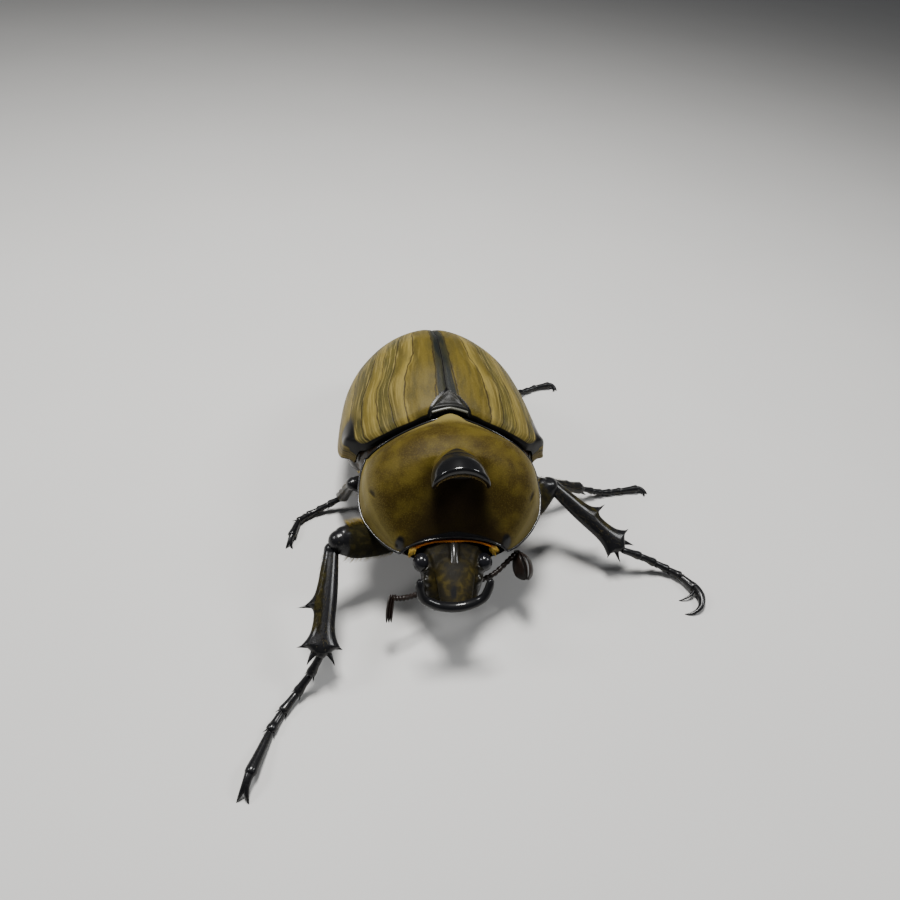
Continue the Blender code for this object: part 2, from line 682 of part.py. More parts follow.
def build_tarsus(leg, sizes):
    """The five toe joints and the two claws, cut level where they stand."""
    stops = toe_path(leg, sizes)
    plane = joint_plane(leg.knee, leg.ankle, stops[1])
    way = (stops[1] - stops[0]).normalized()
    stops[0] = shifted(leg.ankle, way, plane, GAP / 2)
    thick = sizes.foot
    path, radii = [stops[0]], [thick * 1.05]
    for k, (near, far) in enumerate(zip(stops, stops[1:])):
        last = k == len(stops) - 2
        for part, size in ((0.25, 0.72), (0.88, 1.0 if not last else 0.86)):
            path.append(near.lerp(far, part))
            radii.append(thick * size)
        path.append(far)
        radii.append(thick * (0.66 if not last else 0.7))
    item = tube("%s_tarsus_%s" % (leg.pair, leg.name), path, radii, (0, 0, 1), 6, start=plane)
    claws = []
    end = stops[-1]
    for k, splay in enumerate((-20.0, 20.0)):
        turn = math.radians(leg.headings[-1] + splay)
        flat = Vector((math.cos(turn), math.sin(turn), 0.0))
        bend = Vector((math.cos(math.radians(leg.headings[-2])), math.sin(math.radians(leg.headings[-2])), 0.0))
        curve = []
        for u in steps(4):
            side = bend.lerp(flat, min(1.0, u * 1.6))
            inner = bend.cross(Vector((0, 0, 1))) * (-0.22 if splay > 0 else 0.22) - bend * 0.5
            curve.append(end + side * (sizes.claw * u) + inner * (1 - u) + Vector((0, 0, (-end.z - 0.15) * u ** 2.0)))
        claws.append(tube("claw_%d" % k, curve, [0.46, 0.46, 0.4, 0.32, 0.2], tuple(flat.cross(Vector((0, 0, 1)))), 5))
    fuse(item, claws)
    bm = bmesh.new()
    bmesh.ops.create_cube(bm, size=1.0)
    bmesh.ops.scale(bm, vec=Vector((0.2, 0.2, 0.01)), verts=bm.verts)
    bmesh.ops.translate(bm, vec=Vector((0.0, 0.0, -0.005)), verts=bm.verts)
    return carve(item, [add_object("floor_cut", bm)])


def centre_on_floor(root, items):
    """Put the middle of the model's box over the origin, with its feet on z = 0."""
    corners = [item.matrix_world @ vertex.co for item in items for vertex in item.data.vertices]
    lows = [min(c[axis] for c in corners) for axis in range(3)]
    highs = [max(c[axis] for c in corners) for axis in range(3)]
    root.location = (-(lows[0] + highs[0]) / 2.0, -(lows[1] + highs[1]) / 2.0, -lows[2])


def main():
    """Build every piece, give it its look and stand the beetle on the floor."""
    clear()
    velvet = (0.155, 0.105, 0.03)
    black = (0.012, 0.011, 0.012)
    items = []

    def add(item, colour, roughness):
        set_look(item, finish(item.name + "_finish", colour, roughness))
        items.append(item)

    add(carve(build_pronotum(), [build_horn(GAP)]), velvet, 0.6)
    add(build_horn(), black, 0.15)
    right_left = (-1, 1)
    legs = [(leg, PAIRS[leg.pair]) for leg in LEGS]
    fore = [build_coxa(leg, sizes, GAP) for leg, sizes in legs if leg.pair == "fore"]
    fore += [build_femur(leg, sizes, GAP) for leg, sizes in legs if leg.pair == "fore"]
    fore += [build_femur(leg, sizes, GAP) for leg, sizes in legs if leg.pair == "mid"]
    add(carve(build_prosternum(), fore, "MANIFOLD"), black, 0.35)
    rear = [build_coxa(leg, sizes, GAP) for leg, sizes in legs if leg.pair != "fore"]
    rear += [build_femur(leg, sizes, GAP) for leg, sizes in legs if leg.pair != "fore"]
    add(carve(build_thorax(), rear + [build_scutellum(GAP)]), black, 0.35)
    hind = [build_femur(leg, sizes, GAP) for leg, sizes in legs if leg.pair == "hind"]
    hind += [build_tibia(leg, sizes, GAP) for leg, sizes in legs if leg.pair == "hind"]
    add(carve(build_abdomen(), hind), black, 0.35)
    add(build_pygidium(), black, 0.35)
    for hand in right_left:
        add(carve(build_elytron(hand), [build_scutellum(GAP)]), velvet, 0.55)
    add(build_scutellum(), black, 0.2)
    sockets = [build_head_horn(GAP), build_eye(-1, GAP), build_eye(1, GAP), build_right_antenna(GAP),
               build_left_antenna(GAP), build_mandible(-1, GAP), build_mandible(1, GAP), build_mouthparts(GAP)]
    add(carve(build_head(), sockets), (0.03, 0.024, 0.01), 0.4)
    add(build_head_horn(), black, 0.12)
    for hand in right_left:
        add(build_eye(hand), (0.01, 0.01, 0.012), 0.08)
        add(build_mandible(hand), black, 0.25)
    add(build_right_antenna(), black, 0.3)
    add(build_left_antenna(), black, 0.3)
    add(build_mouthparts(), (0.05, 0.02, 0.01), 0.4)
    for leg, sizes in legs:
        add(build_coxa(leg, sizes), black, 0.3)
        femur = build_femur(leg, sizes)
        add(carve(femur, [build_tibia(leg, sizes, GAP)]) if folded(leg) else femur, black, 0.25)
        add(build_tibia(leg, sizes), black, 0.25)
        add(build_tarsus(leg, sizes), black, 0.2)
    root = bpy.data.objects.new("beetle", None)
    bpy.context.collection.objects.link(root)
    bpy.context.view_layer.update()
    centre_on_floor(root, items)
    for item in items:
        item.parent = root


main()
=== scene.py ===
"""The looks of a male anubis elephant beetle: a still, life-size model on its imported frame."""

import logging
import math
import random
from dataclasses import dataclass
from enum import Enum
from typing import Callable, ClassVar, Optional, Sequence, Union

import bmesh
import bpy
import numpy as np
from mathutils import Matrix, Vector


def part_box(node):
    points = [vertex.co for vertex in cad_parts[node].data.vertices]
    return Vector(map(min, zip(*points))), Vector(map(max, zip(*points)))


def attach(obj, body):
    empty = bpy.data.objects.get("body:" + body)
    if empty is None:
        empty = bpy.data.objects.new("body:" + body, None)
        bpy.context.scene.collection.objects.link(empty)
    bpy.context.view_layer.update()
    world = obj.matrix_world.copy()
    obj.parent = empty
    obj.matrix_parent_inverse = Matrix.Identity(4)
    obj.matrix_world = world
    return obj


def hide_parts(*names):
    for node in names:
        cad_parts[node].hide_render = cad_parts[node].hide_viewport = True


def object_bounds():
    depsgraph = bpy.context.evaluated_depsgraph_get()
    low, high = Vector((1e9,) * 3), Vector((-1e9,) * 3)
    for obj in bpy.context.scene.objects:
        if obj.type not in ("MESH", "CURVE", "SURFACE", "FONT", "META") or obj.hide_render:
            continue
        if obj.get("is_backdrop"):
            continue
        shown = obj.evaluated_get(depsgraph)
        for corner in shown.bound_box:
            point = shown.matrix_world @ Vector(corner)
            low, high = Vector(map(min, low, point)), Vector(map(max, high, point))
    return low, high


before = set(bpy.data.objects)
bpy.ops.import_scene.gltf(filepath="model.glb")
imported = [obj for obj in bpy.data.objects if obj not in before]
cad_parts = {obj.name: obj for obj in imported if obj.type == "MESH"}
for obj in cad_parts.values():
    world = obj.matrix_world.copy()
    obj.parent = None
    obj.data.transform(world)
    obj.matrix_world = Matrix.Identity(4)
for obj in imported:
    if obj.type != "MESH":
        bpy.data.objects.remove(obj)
CAD_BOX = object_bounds()

log = logging.getLogger("beetle")
MM = 0.001
FINE_CELL = 0.085
Array = np.ndarray
Spot = tuple[float, float, float]
Mark = Callable[[Array, Array, Array], Array]


class Slot(Enum):
    """The record's material slots."""

    VELVET = "velvet_shell"
    GLOSS = "gloss_shell"
    HAIRED = "haired_skin"
    EYE = "eye"


class Profile:
    """A smooth value along a length, through named stops and level beyond them."""

    def __init__(self, *stops: tuple[float, float]) -> None:
        """Work out the slopes of the curve.

        Args:
            stops: (position, value) pairs in rising order of position.
        """
        self.places = np.array([place for place, _ in stops], float)
        self.values = np.array([value for _, value in stops], float)
        rises = np.diff(self.values) / np.diff(self.places)
        inner = [0.0 if a * b <= 0.0 else 2.0 * a * b / (a + b) for a, b in zip(rises, rises[1:])]
        self.slopes = np.array([rises[0], *inner, rises[-1]])

    def __call__(self, place: Array) -> Array:
        """Return the curve's value.

        Args:
            place: One position or an array of them.

        Returns:
            The value at each.
        """
        place = np.clip(place, self.places[0], self.places[-1])
        k = np.clip(np.searchsorted(self.places, place, side="right") - 1, 0, len(self.places) - 2)
        width = self.places[k + 1] - self.places[k]
        u = (place - self.places[k]) / width
        near = self.values[k] * (1 + 2 * u) * (1 - u) ** 2 + self.slopes[k] * width * u * (1 - u) ** 2
        far = self.values[k + 1] * u * u * (3 - 2 * u) + self.slopes[k + 1] * width * u * u * (u - 1)
        return near + far


def arc(t: Array, squareness: Union[Array, float]) -> tuple[Array, Array]:
    """Return the two parts of a rounded cross-section.

    Args:
        t: From -1 to 1 between its margins.
        squareness: 2 for an ellipse.

    Returns:
        The part across, from -1 to 1, and the part up, from 0 to 1.
    """
    angle = t * math.pi / 2.0
    power = 2.0 / squareness
    return np.sign(t) * np.abs(np.sin(angle)) ** power, np.clip(np.cos(angle), 0.0, None) ** power


def ease(value: Array, low: float, high: float) -> Array:
    """Return 0 at low and 1 at high with a soft start and end."""
    u = np.clip((value - low) / (high - low), 0.0, 1.0)
    return u * u * (3.0 - 2.0 * u)


def blend_max(first: Array, second: Array, radius: float) -> Array:
    """Return the greater of two heights, with a fillet where they meet."""
    h = np.clip(0.5 + 0.5 * (first - second) / radius, 0.0, 1.0)
    return second + (first - second) * h + radius * h * (1.0 - h)


def curve(points: Sequence[Spot], count: int) -> list[Vector]:
    """Return evenly spaced places along a smooth curve.

    Args:
        points: Places the curve passes through.
        count: How many places to return.

    Returns:
        The places, first and last point included.
    """
    knots = np.array(points, float)
    knots = np.vstack([2 * knots[0] - knots[1], knots, 2 * knots[-1] - knots[-2]])
    made = []
    for position in np.linspace(0.0, len(points) - 1.0, count):
        k = min(int(position), len(points) - 2)
        u = position - k
        a, b, c, d = knots[k:k + 4]
        second, third = 2 * a - 5 * b + 4 * c - d, 3 * b - a - 3 * c + d
        made.append(Vector(0.5 * (2 * b + (c - a) * u + second * u * u + third * u ** 3)))
    return made


def body_shift() -> Vector:
    """Return where the middle of the pronotum's rear margin stands, in metres."""
    low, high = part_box("pronotum")
    return Vector(((low.x + high.x) / 2.0, high.y, 0.0))


BODY = Matrix.Translation(body_shift()) @ Matrix.Scale(MM, 4)


def sided(hand: int, shift: float, *places: Spot) -> list[Spot]:
    """Return places taken to one side, -1 for right and 1 for left, of a middle moved by shift."""
    return [(hand * x + shift, y, z) for x, y, z in places]


@dataclass(frozen=True)
class Station:
    """One cross-section of a limb: its centre and its half-widths along the side axis and across it."""

    place: Vector
    wide: float
    thin: float


def stations(points: Sequence[Spot], wide: Profile, thin: Profile, count: int) -> list[Station]:
    """Return the cross-sections of a limb on a smooth curve.

    Args:
        points: Places the curve passes through, in millimetres.
        wide: Half-width along the side axis, over 0 to 1 of the limb.
        thin: Half-width across it.
        count: How many cross-sections to make.

    Returns:
        The cross-sections in order.
    """
    marks = np.linspace(0.0, 1.0, count)
    return [Station(place, float(wide(u)), float(thin(u))) for place, u in zip(curve(points, count), marks)]


def new_item(name: str, data: bpy.types.ID) -> bpy.types.Object:
    """Add an object to the scene.

    Args:
        name: Its name.
        data: Its mesh, light or camera.

    Returns:
        The object.
    """
    item = bpy.data.objects.new(name, data)
    bpy.context.scene.collection.objects.link(item)
    return item


class Form:
    """A mesh in the making, in millimetres of the body's own frame."""

    def __init__(self) -> None:
        """Start empty."""
        self.bm = bmesh.new()

    def sheet(self, columns: int, rows: int, place: Callable[[Array, Array], Array],
              marks: Optional[dict[str, Callable[[Array, Array], Array]]] = None) -> None:
        """Add a grid and shape it.

        Args:
            columns: Divisions across.
            rows: Divisions along.
            place: Gives places (n, 3) from arrays of (along, across), each from 0 to 1.
            marks: Named values over the grid, worked out from the same arrays.
        """
        layers = {name: self.bm.verts.layers.float.new(name) for name in marks or {}}
        made = bmesh.ops.create_grid(self.bm, x_segments=columns, y_segments=rows, size=0.5)["verts"]
        flat = np.array([vertex.co for vertex in made], float) + 0.5
        for vertex, spot in zip(made, place(flat[:, 1], flat[:, 0])):
            vertex.co = spot
        for name, layer in layers.items():
            for vertex, value in zip(made, marks[name](flat[:, 1], flat[:, 0])):
                vertex[layer] = value

    def limb(self, rings: Sequence[Station], side: Spot, count: int = 20, square: float = 2.0) -> None:
        """Add a closed rod through cross-sections.

        Args:
            rings: The cross-sections in order.
            side: The direction that each ring's wide half-width follows.
            count: Sides of the rod.
            square: Squareness of the cross-section, 2 for an ellipse.
        """
        frames = []
        for k, ring in enumerate(rings):
            way = (rings[min(k + 1, len(rings) - 1)].place - rings[max(k - 1, 0)].place).normalized()
            first = Vector(side)
            first = (first - way * first.dot(way)).normalized()
            turn = Matrix((first, way.cross(first), way)).transposed().to_4x4()
            size = Matrix.Diagonal((ring.wide, ring.thin, 1.0, 1.0))
            frames.append(Matrix.Translation(ring.place) @ turn @ size)
        loop = bmesh.ops.create_circle(self.bm, cap_ends=False, segments=count, radius=1.0)["verts"]
        for vertex in loop:
            for axis in (0, 1):
                part = vertex.co[axis]
                vertex.co[axis] = math.copysign(abs(part) ** (2.0 / square), part)
        edges = list({edge for vertex in loop for edge in vertex.link_edges})
        rim = list(edges)
        bmesh.ops.transform(self.bm, matrix=frames[0], verts=loop)
        for near, far in zip(frames, frames[1:]):
            grown = bmesh.ops.extrude_edge_only(self.bm, edges=edges)["geom"]
            loop = [part for part in grown if isinstance(part, bmesh.types.BMVert)]
            ends = set(loop)
            lines = [part for part in grown if isinstance(part, bmesh.types.BMEdge)]
            edges = [line for line in lines if ends.issuperset(line.verts)]
            bmesh.ops.transform(self.bm, matrix=far @ near.inverted(), verts=loop)
        bmesh.ops.holes_fill(self.bm, edges=rim, sides=count)
        bmesh.ops.holes_fill(self.bm, edges=edges, sides=count)

    def ball(self, centre: Spot, size: Spot, rows: int = 16) -> None:
        """Add a rounded body.

        Args:
            centre: Its middle.
            size: Its half-sizes along the axes.
            rows: Its rows of faces.
        """
        made = bmesh.ops.create_uvsphere(self.bm, u_segments=rows * 2, v_segments=rows, radius=1.0)["verts"]
        bmesh.ops.scale(self.bm, vec=Vector(size), verts=made)
        bmesh.ops.translate(self.bm, vec=Vector(centre), verts=made)

    def cap(self) -> None:
        """Fill the open rims of the sheets."""
        rims = [edge for edge in self.bm.edges if edge.is_boundary]
        bmesh.ops.holes_fill(self.bm, edges=rims, sides=0)

    def split_caps(self) -> None:
        """Cut the faces that fill a rim into triangles."""
        bmesh.ops.triangulate(self.bm, faces=[face for face in self.bm.faces if len(face.verts) > 4])

    def finish(self, name: str, look: "Look", slot: Slot, nodes: Sequence[str] = (), *,
               outward: Optional[Spot] = None, shell: float = 0.0, voxel: float = 0.0, soften: int = 0,
               sharp: float = 40.0, marks: Optional[dict[str, Mark]] = None) -> bpy.types.Object:
        """Turn the form into a finished piece that rides on the body.

        Args:
            name: The piece's name.
            look: The finish of its surface.
            slot: The record's slot that the finish belongs to.
            nodes: CAD nodes that it stands for.
            outward: For an open sheet, a direction that its faces should point to.
            shell: Thickness given to an open sheet, inward.
            voxel: Size of the cells that fuse overlapping bodies into one skin, or 0.
            soften: Rounds of smoothing after that.
            sharp: Edges bent by more than this many degrees stay crisp.
            marks: Named values over the surface, worked out from x, y and z in millimetres.

        Returns:
            The finished object.
        """
        self.bm.normal_update()
        if outward is None:
            bmesh.ops.recalc_face_normals(self.bm, faces=self.bm.faces)
        else:
            lean = sum((face.normal * face.calc_area() for face in self.bm.faces), Vector())
            if lean.dot(Vector(outward)) < 0.0:
                bmesh.ops.reverse_faces(self.bm, faces=self.bm.faces)
        mesh = bpy.data.meshes.new(name)
        self.bm.to_mesh(mesh)
        self.bm.free()
        item = new_item(name, mesh)
        if shell:
            wall = item.modifiers.new("wall", "SOLIDIFY")
            wall.thickness, wall.offset, wall.use_even_offset = shell, -1.0, True
        if voxel:
            fuse = item.modifiers.new("fuse", "REMESH")
            fuse.mode, fuse.voxel_size, fuse.use_smooth_shade = "VOXEL", voxel, True
        if soften:
            calm = item.modifiers.new("calm", "SMOOTH")
            calm.factor, calm.iterations = 0.5, soften
        if item.modifiers:
            graph = bpy.context.evaluated_depsgraph_get()
            item.data = bpy.data.meshes.new_from_object(item.evaluated_get(graph))
            item.modifiers.clear()
        add_marks(item.data, marks or {})
        item.data.transform(BODY)
        return dress(item, look, slot, nodes, sharp)


def add_marks(mesh: bpy.types.Mesh, marks: dict[str, Mark]) -> None:
    """Write named values at a mesh's vertices.

    Args:
        mesh: The mesh, in millimetres.
        marks: The values, worked out from x, y and z.
    """
    spots = np.empty(len(mesh.vertices) * 3, np.float32)
    mesh.vertices.foreach_get("co", spots)
    x, y, z = spots.reshape(-1, 3).astype(float).T
    for name, mark in marks.items():
        layer = mesh.attributes.new(name, "FLOAT", "POINT")
        layer.data.foreach_set("value", np.broadcast_to(mark(x, y, z), x.shape).astype(np.float32))


def dress(item: bpy.types.Object, look: "Look", slot: Slot, nodes: Sequence[str] = (),
          sharp: float = 40.0) -> bpy.types.Object:
    """Give a piece its finish, smooth shading and place on the body, and log it.

    Args:
        item: The piece, in the frame's own place.
        look: The finish of its surface.
        slot: The record's slot that the finish belongs to; not used.
        nodes: CAD nodes that it stands for.
        sharp: Edges bent by more than this many degrees stay crisp.

    Returns:
        The same piece.
    """
    item.data.materials.clear()
    item.data.materials.append(look.material)
    item.data.shade_smooth()
    if sharp < 180.0:
        item.data.set_sharp_from_angle(angle=math.radians(sharp))
    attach(item, "root")
    slot.value
    if nodes:
        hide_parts(*nodes)
    log.info("%s: %d faces", item.name, len(item.data.polygons))
    return item


class Wire:
    """A value in a shader. Python's operators add the Math nodes that work it out."""

    def __init__(self, look: "Look", socket: bpy.types.NodeSocket) -> None:
        """Wrap an output socket of one of the look's nodes."""
        self.look = look
        self.socket = socket

    def __add__(self, other: "Value") -> "Wire":
        """Return the sum."""
        return self.look.math("ADD", self, other)

    def __sub__(self, other: "Value") -> "Wire":
        """Return the difference."""
        return self.look.math("SUBTRACT", self, other)

    def __rsub__(self, other: "Value") -> "Wire":
        """Return the difference from a number."""
        return self.look.math("SUBTRACT", other, self)

    def __mul__(self, other: "Value") -> "Wire":
        """Return the product."""
        return self.look.math("MULTIPLY", self, other)

    def __truediv__(self, other: "Value") -> "Wire":
        """Return the quotient."""
        return self.look.math("DIVIDE", self, other)

    def __abs__(self) -> "Wire":
        """Return the size without its sign."""
        return self.look.math("ABSOLUTE", self)

    def __round__(self) -> "Wire":
        """Return the nearest whole number."""
        return self.look.math("ROUND", self)

    __radd__ = __add__
    __rmul__ = __mul__


Value = Union[Wire, float]
Colour = tuple[float, float, float]


def tinted(colour: Colour, gain: float, lift: float = 0.0) -> Colour:
    """Return a colour with each part multiplied, then lifted."""
    return tuple(part * gain + lift for part in colour)


class Look:
    """A finish: a Principled material whose nodes are made by named steps."""

    def __init__(self, name: str, **constants: Union[float, Colour]) -> None:
        """Make the material.

        Args:
            name: The material's name.
            constants: Values of the shader's own sockets, with spaces written as underscores.
        """
        self.material = bpy.data.materials.new(name)
        self.material.use_nodes = True
        self.tree = self.material.node_tree
        self.shader = self.tree.nodes["Principled BSDF"]
        for key, value in constants.items():
            self.give(key.replace("_", " "), value)

    def give(self, socket: str, value: Union[Value, Colour, bpy.types.NodeSocket]) -> None:
        """Set or link one of the shader's sockets."""
        self._feed(self.shader.inputs[socket], value)

    def _feed(self, socket: bpy.types.NodeSocket, value: object) -> None:
        """Set or link one socket.

        Args:
            socket: An input of a node.
            value: A number, a colour, a Wire or another node's output.
        """
        if isinstance(value, Wire):
            self.tree.links.new(value.socket, socket)
        elif isinstance(value, bpy.types.NodeSocket):
            self.tree.links.new(value, socket)
        elif isinstance(value, tuple) and len(value) == 3 and socket.type == "RGBA":
            socket.default_value = (*value, 1.0)
        else:
            socket.default_value = value

    def node(self, kind: str, settings: Optional[dict] = None,
             inputs: Optional[dict] = None) -> bpy.types.Node:
        """Add a node.

        Args:
            kind: The node's type.
            settings: Its properties; "stops" holds a ramp's (position, colour) pairs.
            inputs: Values or links of its sockets, by name or number.

        Returns:
            The node.
        """
        made = self.tree.nodes.new(kind)
        for key, value in (settings or {}).items():
            if key == "stops":
                while len(made.color_ramp.elements) < len(value):
                    made.color_ramp.elements.new(0.5)
                for element, (position, colour) in zip(made.color_ramp.elements, value):
                    element.position, element.color = position, (*colour, 1.0)
            else:
                setattr(made, key, value)
        for key, value in (inputs or {}).items():
            self._feed(made.inputs[key], value)
        return made

    def math(self, operation: str, *values: Value) -> Wire:
        """Return the result of a Math node."""
        step = self.node("ShaderNodeMath", {"operation": operation}, dict(enumerate(values)))
        return Wire(self, step.outputs[0])

    def mark(self, name: str) -> Wire:
        """Return a named value that the mesh carries."""
        return Wire(self, self.node("ShaderNodeAttribute", {"attribute_name": name}).outputs["Fac"])

    def spot(self, scale: Spot = (1.0, 1.0, 1.0)) -> bpy.types.NodeSocket:
        """Return the object's own coordinates in millimetres, stretched by a scale."""
        place = self.node("ShaderNodeTexCoord").outputs["Object"]
        size = Vector(scale) * 1000.0
        return self.node("ShaderNodeMapping", {}, {"Vector": place, "Scale": size}).outputs["Vector"]

    def noise(self, per_mm: float, detail: float = 2.0, stretch: Spot = (1.0, 1.0, 1.0)) -> Wire:
        """Return soft noise, with so many features to the millimetre."""
        inputs = {"Vector": self.spot(stretch), "Scale": per_mm, "Detail": detail}
        return Wire(self, self.node("ShaderNodeTexNoise", {}, inputs).outputs[0])

    def streaks(self, mark: str, per_unit: float, detail: float, y_scale: float) -> Wire:
        """Return noise in streaks along the body, whose place across it is a mark of the mesh.

        Args:
            mark: The mark's name.
            per_unit: Features to one unit of the mark.
            detail: Octaves of the noise.
            y_scale: Features to the millimetre along the body.

        Returns:
            The noise, from 0 to 1.
        """
        across = self.mark(mark) * per_unit
        parts = self.node("ShaderNodeSeparateXYZ", {}, {"Vector": self.spot((1.0, y_scale, 1.0))})
        place = self.node("ShaderNodeCombineXYZ", {}, {"X": across, "Y": parts.outputs["Y"]})
        inputs = {"Vector": place.outputs["Vector"], "Scale": 1.0, "Detail": detail}
        return Wire(self, self.node("ShaderNodeTexNoise", {}, inputs).outputs[0])

    def cells(self, per_mm: float, stretch: Spot = (1.0, 1.0, 1.0)) -> Wire:
        """Return the distance to the nearest of scattered points."""
        inputs = {"Vector": self.spot(stretch), "Scale": per_mm}
        return Wire(self, self.node("ShaderNodeTexVoronoi", {}, inputs).outputs["Distance"])

    def soft_step(self, value: Wire, low: float, high: float) -> Wire:
        """Return a soft step between two values.

        Args:
            value: What it is worked out from.
            low: Where it is 0.
            high: Where it is 1.

        Returns:
            The step.
        """
        inputs = {"Value": value, "From Min": low, "From Max": high}
        step = self.node("ShaderNodeMapRange", {"interpolation_type": "SMOOTHSTEP"}, inputs)
        return Wire(self, step.outputs[0])

    def mixed(self, factor: Value, first: object, second: object) -> bpy.types.NodeSocket:
        """Return a mix of two colours."""
        settings = {"data_type": "RGBA", "clamp_factor": True}
        return self.node("ShaderNodeMix", settings, {0: factor, 6: first, 7: second}).outputs[2]

    def ramp(self, value: Wire, stops: Sequence[tuple[float, Colour]]) -> bpy.types.NodeSocket:
        """Return a colour read from a ramp."""
        return self.node("ShaderNodeValToRGB", {"stops": stops}, {"Fac": value}).outputs["Color"]

    def bump(self, height: Wire, depth_mm: float) -> None:
        """Feed the shader's normal with a bump of so many millimetres."""
        inputs = {"Height": height, "Strength": 1.0, "Distance": depth_mm * MM}
        self.give("Normal", self.node("ShaderNodeBump", {}, inputs).outputs["Normal"])


OLIVE = (0.052, 0.038, 0.005)
OLIVE_DEEP = (0.024, 0.0155, 0.002)
TAN = (0.15, 0.115, 0.028)
GREY_OLIVE = (0.030, 0.028, 0.009)
BLUE_GREY = (0.005, 0.0065, 0.0062)
BLACK = (0.0025, 0.0025, 0.003)
LINE = (0.010, 0.007, 0.003)


class ShieldVelvet(Look):
    """Short olive velvet that thins to bare black at the horn and the margins, and darkens in the front
    hollow to its own dark brown with painted shade under the horn.
    """

    def __init__(self, name: str, gloss: float) -> None:
        """Make the finish from the marks bare, hollow, rim and pit; hollow gives the front hollow's dark
        brown with painted shade under the horn.

        Args:
            name: The material's name.
            gloss: How strongly it mirrors.
        """
        super().__init__(name, Sheen_Weight=0.03, Sheen_Roughness=0.4, Sheen_Tint=(0.9, 0.78, 0.45),
                         Specular_IOR_Level=0.07, Coat_Roughness=0.07)
        bare, hollow, rim, pit = (self.mark(mark) for mark in ("bare", "hollow", "rim", "pit"))
        cloud = self.noise(0.35, 3.0)
        nap = self.noise(5.5, 3.0)
        pile = self.mixed(self.soft_step(cloud, 0.35, 0.7), OLIVE_DEEP, OLIVE)
        pile = self.mixed(self.soft_step(rim * 0.8 + nap * 0.5, 0.25, 0.95), pile, (0.125, 0.1, 0.032))
        pile = self.mixed(self.soft_step(nap, 0.42, 0.75) * 0.3, pile, (0.1, 0.074, 0.012))
        # hollow: the front hollow's own dark brown, deepened to near black by painted shade under the horn's
        # overhang
        pile = self.mixed(hollow * 0.95, pile, (0.007, 0.0035, 0.0008))
        pile = self.mixed(self.soft_step(pit, 0.1, 0.9) * 0.85, pile, (0.006, 0.0045, 0.002))
        skin = self.soft_step(bare + (nap - 0.5) * 0.3, 0.25, 0.75)
        self.give("Base Color", self.mixed(skin, pile, BLACK))
        self.give("Roughness", 0.5 - skin * 0.2 + hollow * 0.3 + (nap - 0.5) * 0.1 * (1.0 - skin))
        self.give("Coat Weight", skin * gloss)
        self.bump((nap + self.noise(16.0, 2.0) * 0.6) * (1.0 - skin), 0.035)


class CoverVelvet(Look):
    """Velvet in long streaks of tan and grey-olive between thin dark lines."""

    def __init__(self) -> None:
        """Make the finish from the marks lane and bare."""
        super().__init__("cover_velvet", Sheen_Weight=0.03, Sheen_Roughness=0.4, Sheen_Tint=(0.95, 0.82, 0.5),
                         Specular_IOR_Level=0.08, Coat_Roughness=0.38)
        drawn_out = (1.0, 0.6, 1.0)
        wide_bend = (self.noise(0.22, 3.0, drawn_out) - 0.5) * 0.3
        small_bend = (self.noise(0.9, 2.0, drawn_out) - 0.5) * 0.16
        straight = self.mark("lane")
        lane = straight + (wide_bend + small_bend)
        bare = self.mark("bare")
        streak = self.noise(0.9, 4.0, (1.0, 0.14, 1.0))
        nap = self.noise(6.0, 3.0)
        tone = self.soft_step(streak, 0.38, 0.66)
        band = self.ramp((lane + (streak - 0.5) * 0.5 + 1.0) / 8.0, (
            (0.0, BLUE_GREY), (0.105, BLUE_GREY), (0.13, OLIVE), (0.235, OLIVE), (0.262, TAN),
            (0.33, (0.06, 0.044, 0.007)), (0.385, GREY_OLIVE), (0.48, (0.044, 0.038, 0.01)), (0.505, TAN),
            (0.6, (0.075, 0.056, 0.01)), (0.635, GREY_OLIVE), (0.74, (0.06, 0.048, 0.013)), (0.765, TAN),
            (0.86, (0.12, 0.088, 0.02)), (0.885, (0.15, 0.108, 0.035)), (1.0, (0.1, 0.07, 0.022))))
        beyond = self.soft_step(straight, -0.35, 0.1)
        coat = self.mixed(tone * beyond * 0.35, band, (0.085, 0.064, 0.010))
        coat = self.mixed(self.soft_step(streak, 0.56, 0.34) * 0.45, coat, (0.026, 0.023, 0.007))
        coat = self.mixed(self.soft_step(nap, 0.42, 0.75) * beyond * 0.2, coat, (0.16, 0.12, 0.035))
        off = abs(lane - round(lane))
        fine = self.streaks("lane", 7.0, 3.0, 0.16)
        outer = self.soft_step(straight, 0.0, 2.4)
        coat = self.mixed(self.soft_step(fine, 0.48, 0.66) * outer * 0.55, coat, (0.2, 0.155, 0.05))
        coat = self.mixed(self.soft_step(fine, 0.48, 0.34) * outer * 0.5, coat, (0.05, 0.042, 0.011))
        line = self.soft_step(off, 0.055, 0.012) * self.soft_step(straight, -0.5, -0.3)
        coat = self.mixed(line * 0.8, coat, LINE)
        seam = self.soft_step(abs(straight + 1.0), 0.2, 0.06)
        coat = self.mixed(seam * 0.8, coat, (0.012, 0.012, 0.012))
        skin = self.soft_step(bare + (nap - 0.5) * 0.25, 0.3, 0.75)
        self.give("Base Color", self.mixed(skin, coat, BLACK))
        self.give("Roughness", 0.48 - skin * 0.2 + (nap - 0.5) * 0.1 * (1.0 - skin))
        self.give("Coat Weight", skin * 0.1)
        self.bump((nap + streak * 1.2 - line) * (1.0 - skin), 0.03)


@dataclass(frozen=True)
class ChitinTone:
    """How one kind of shell differs from the next.

    roughness and mirror are those of its clear coat, pit_depth is in millimetres, dots is how
    strongly pale dots show in the pits, and hair is the colour of the hair on it.
    """

    name: str
    base: Colour = BLACK
    roughness: float = 0.13
    pits_per_mm: float = 2.6
    pit_depth: float = 0.03
    mirror: float = 0.6
    dots: float = 0.0
    hair: Colour = (0.1, 0.075, 0.014)


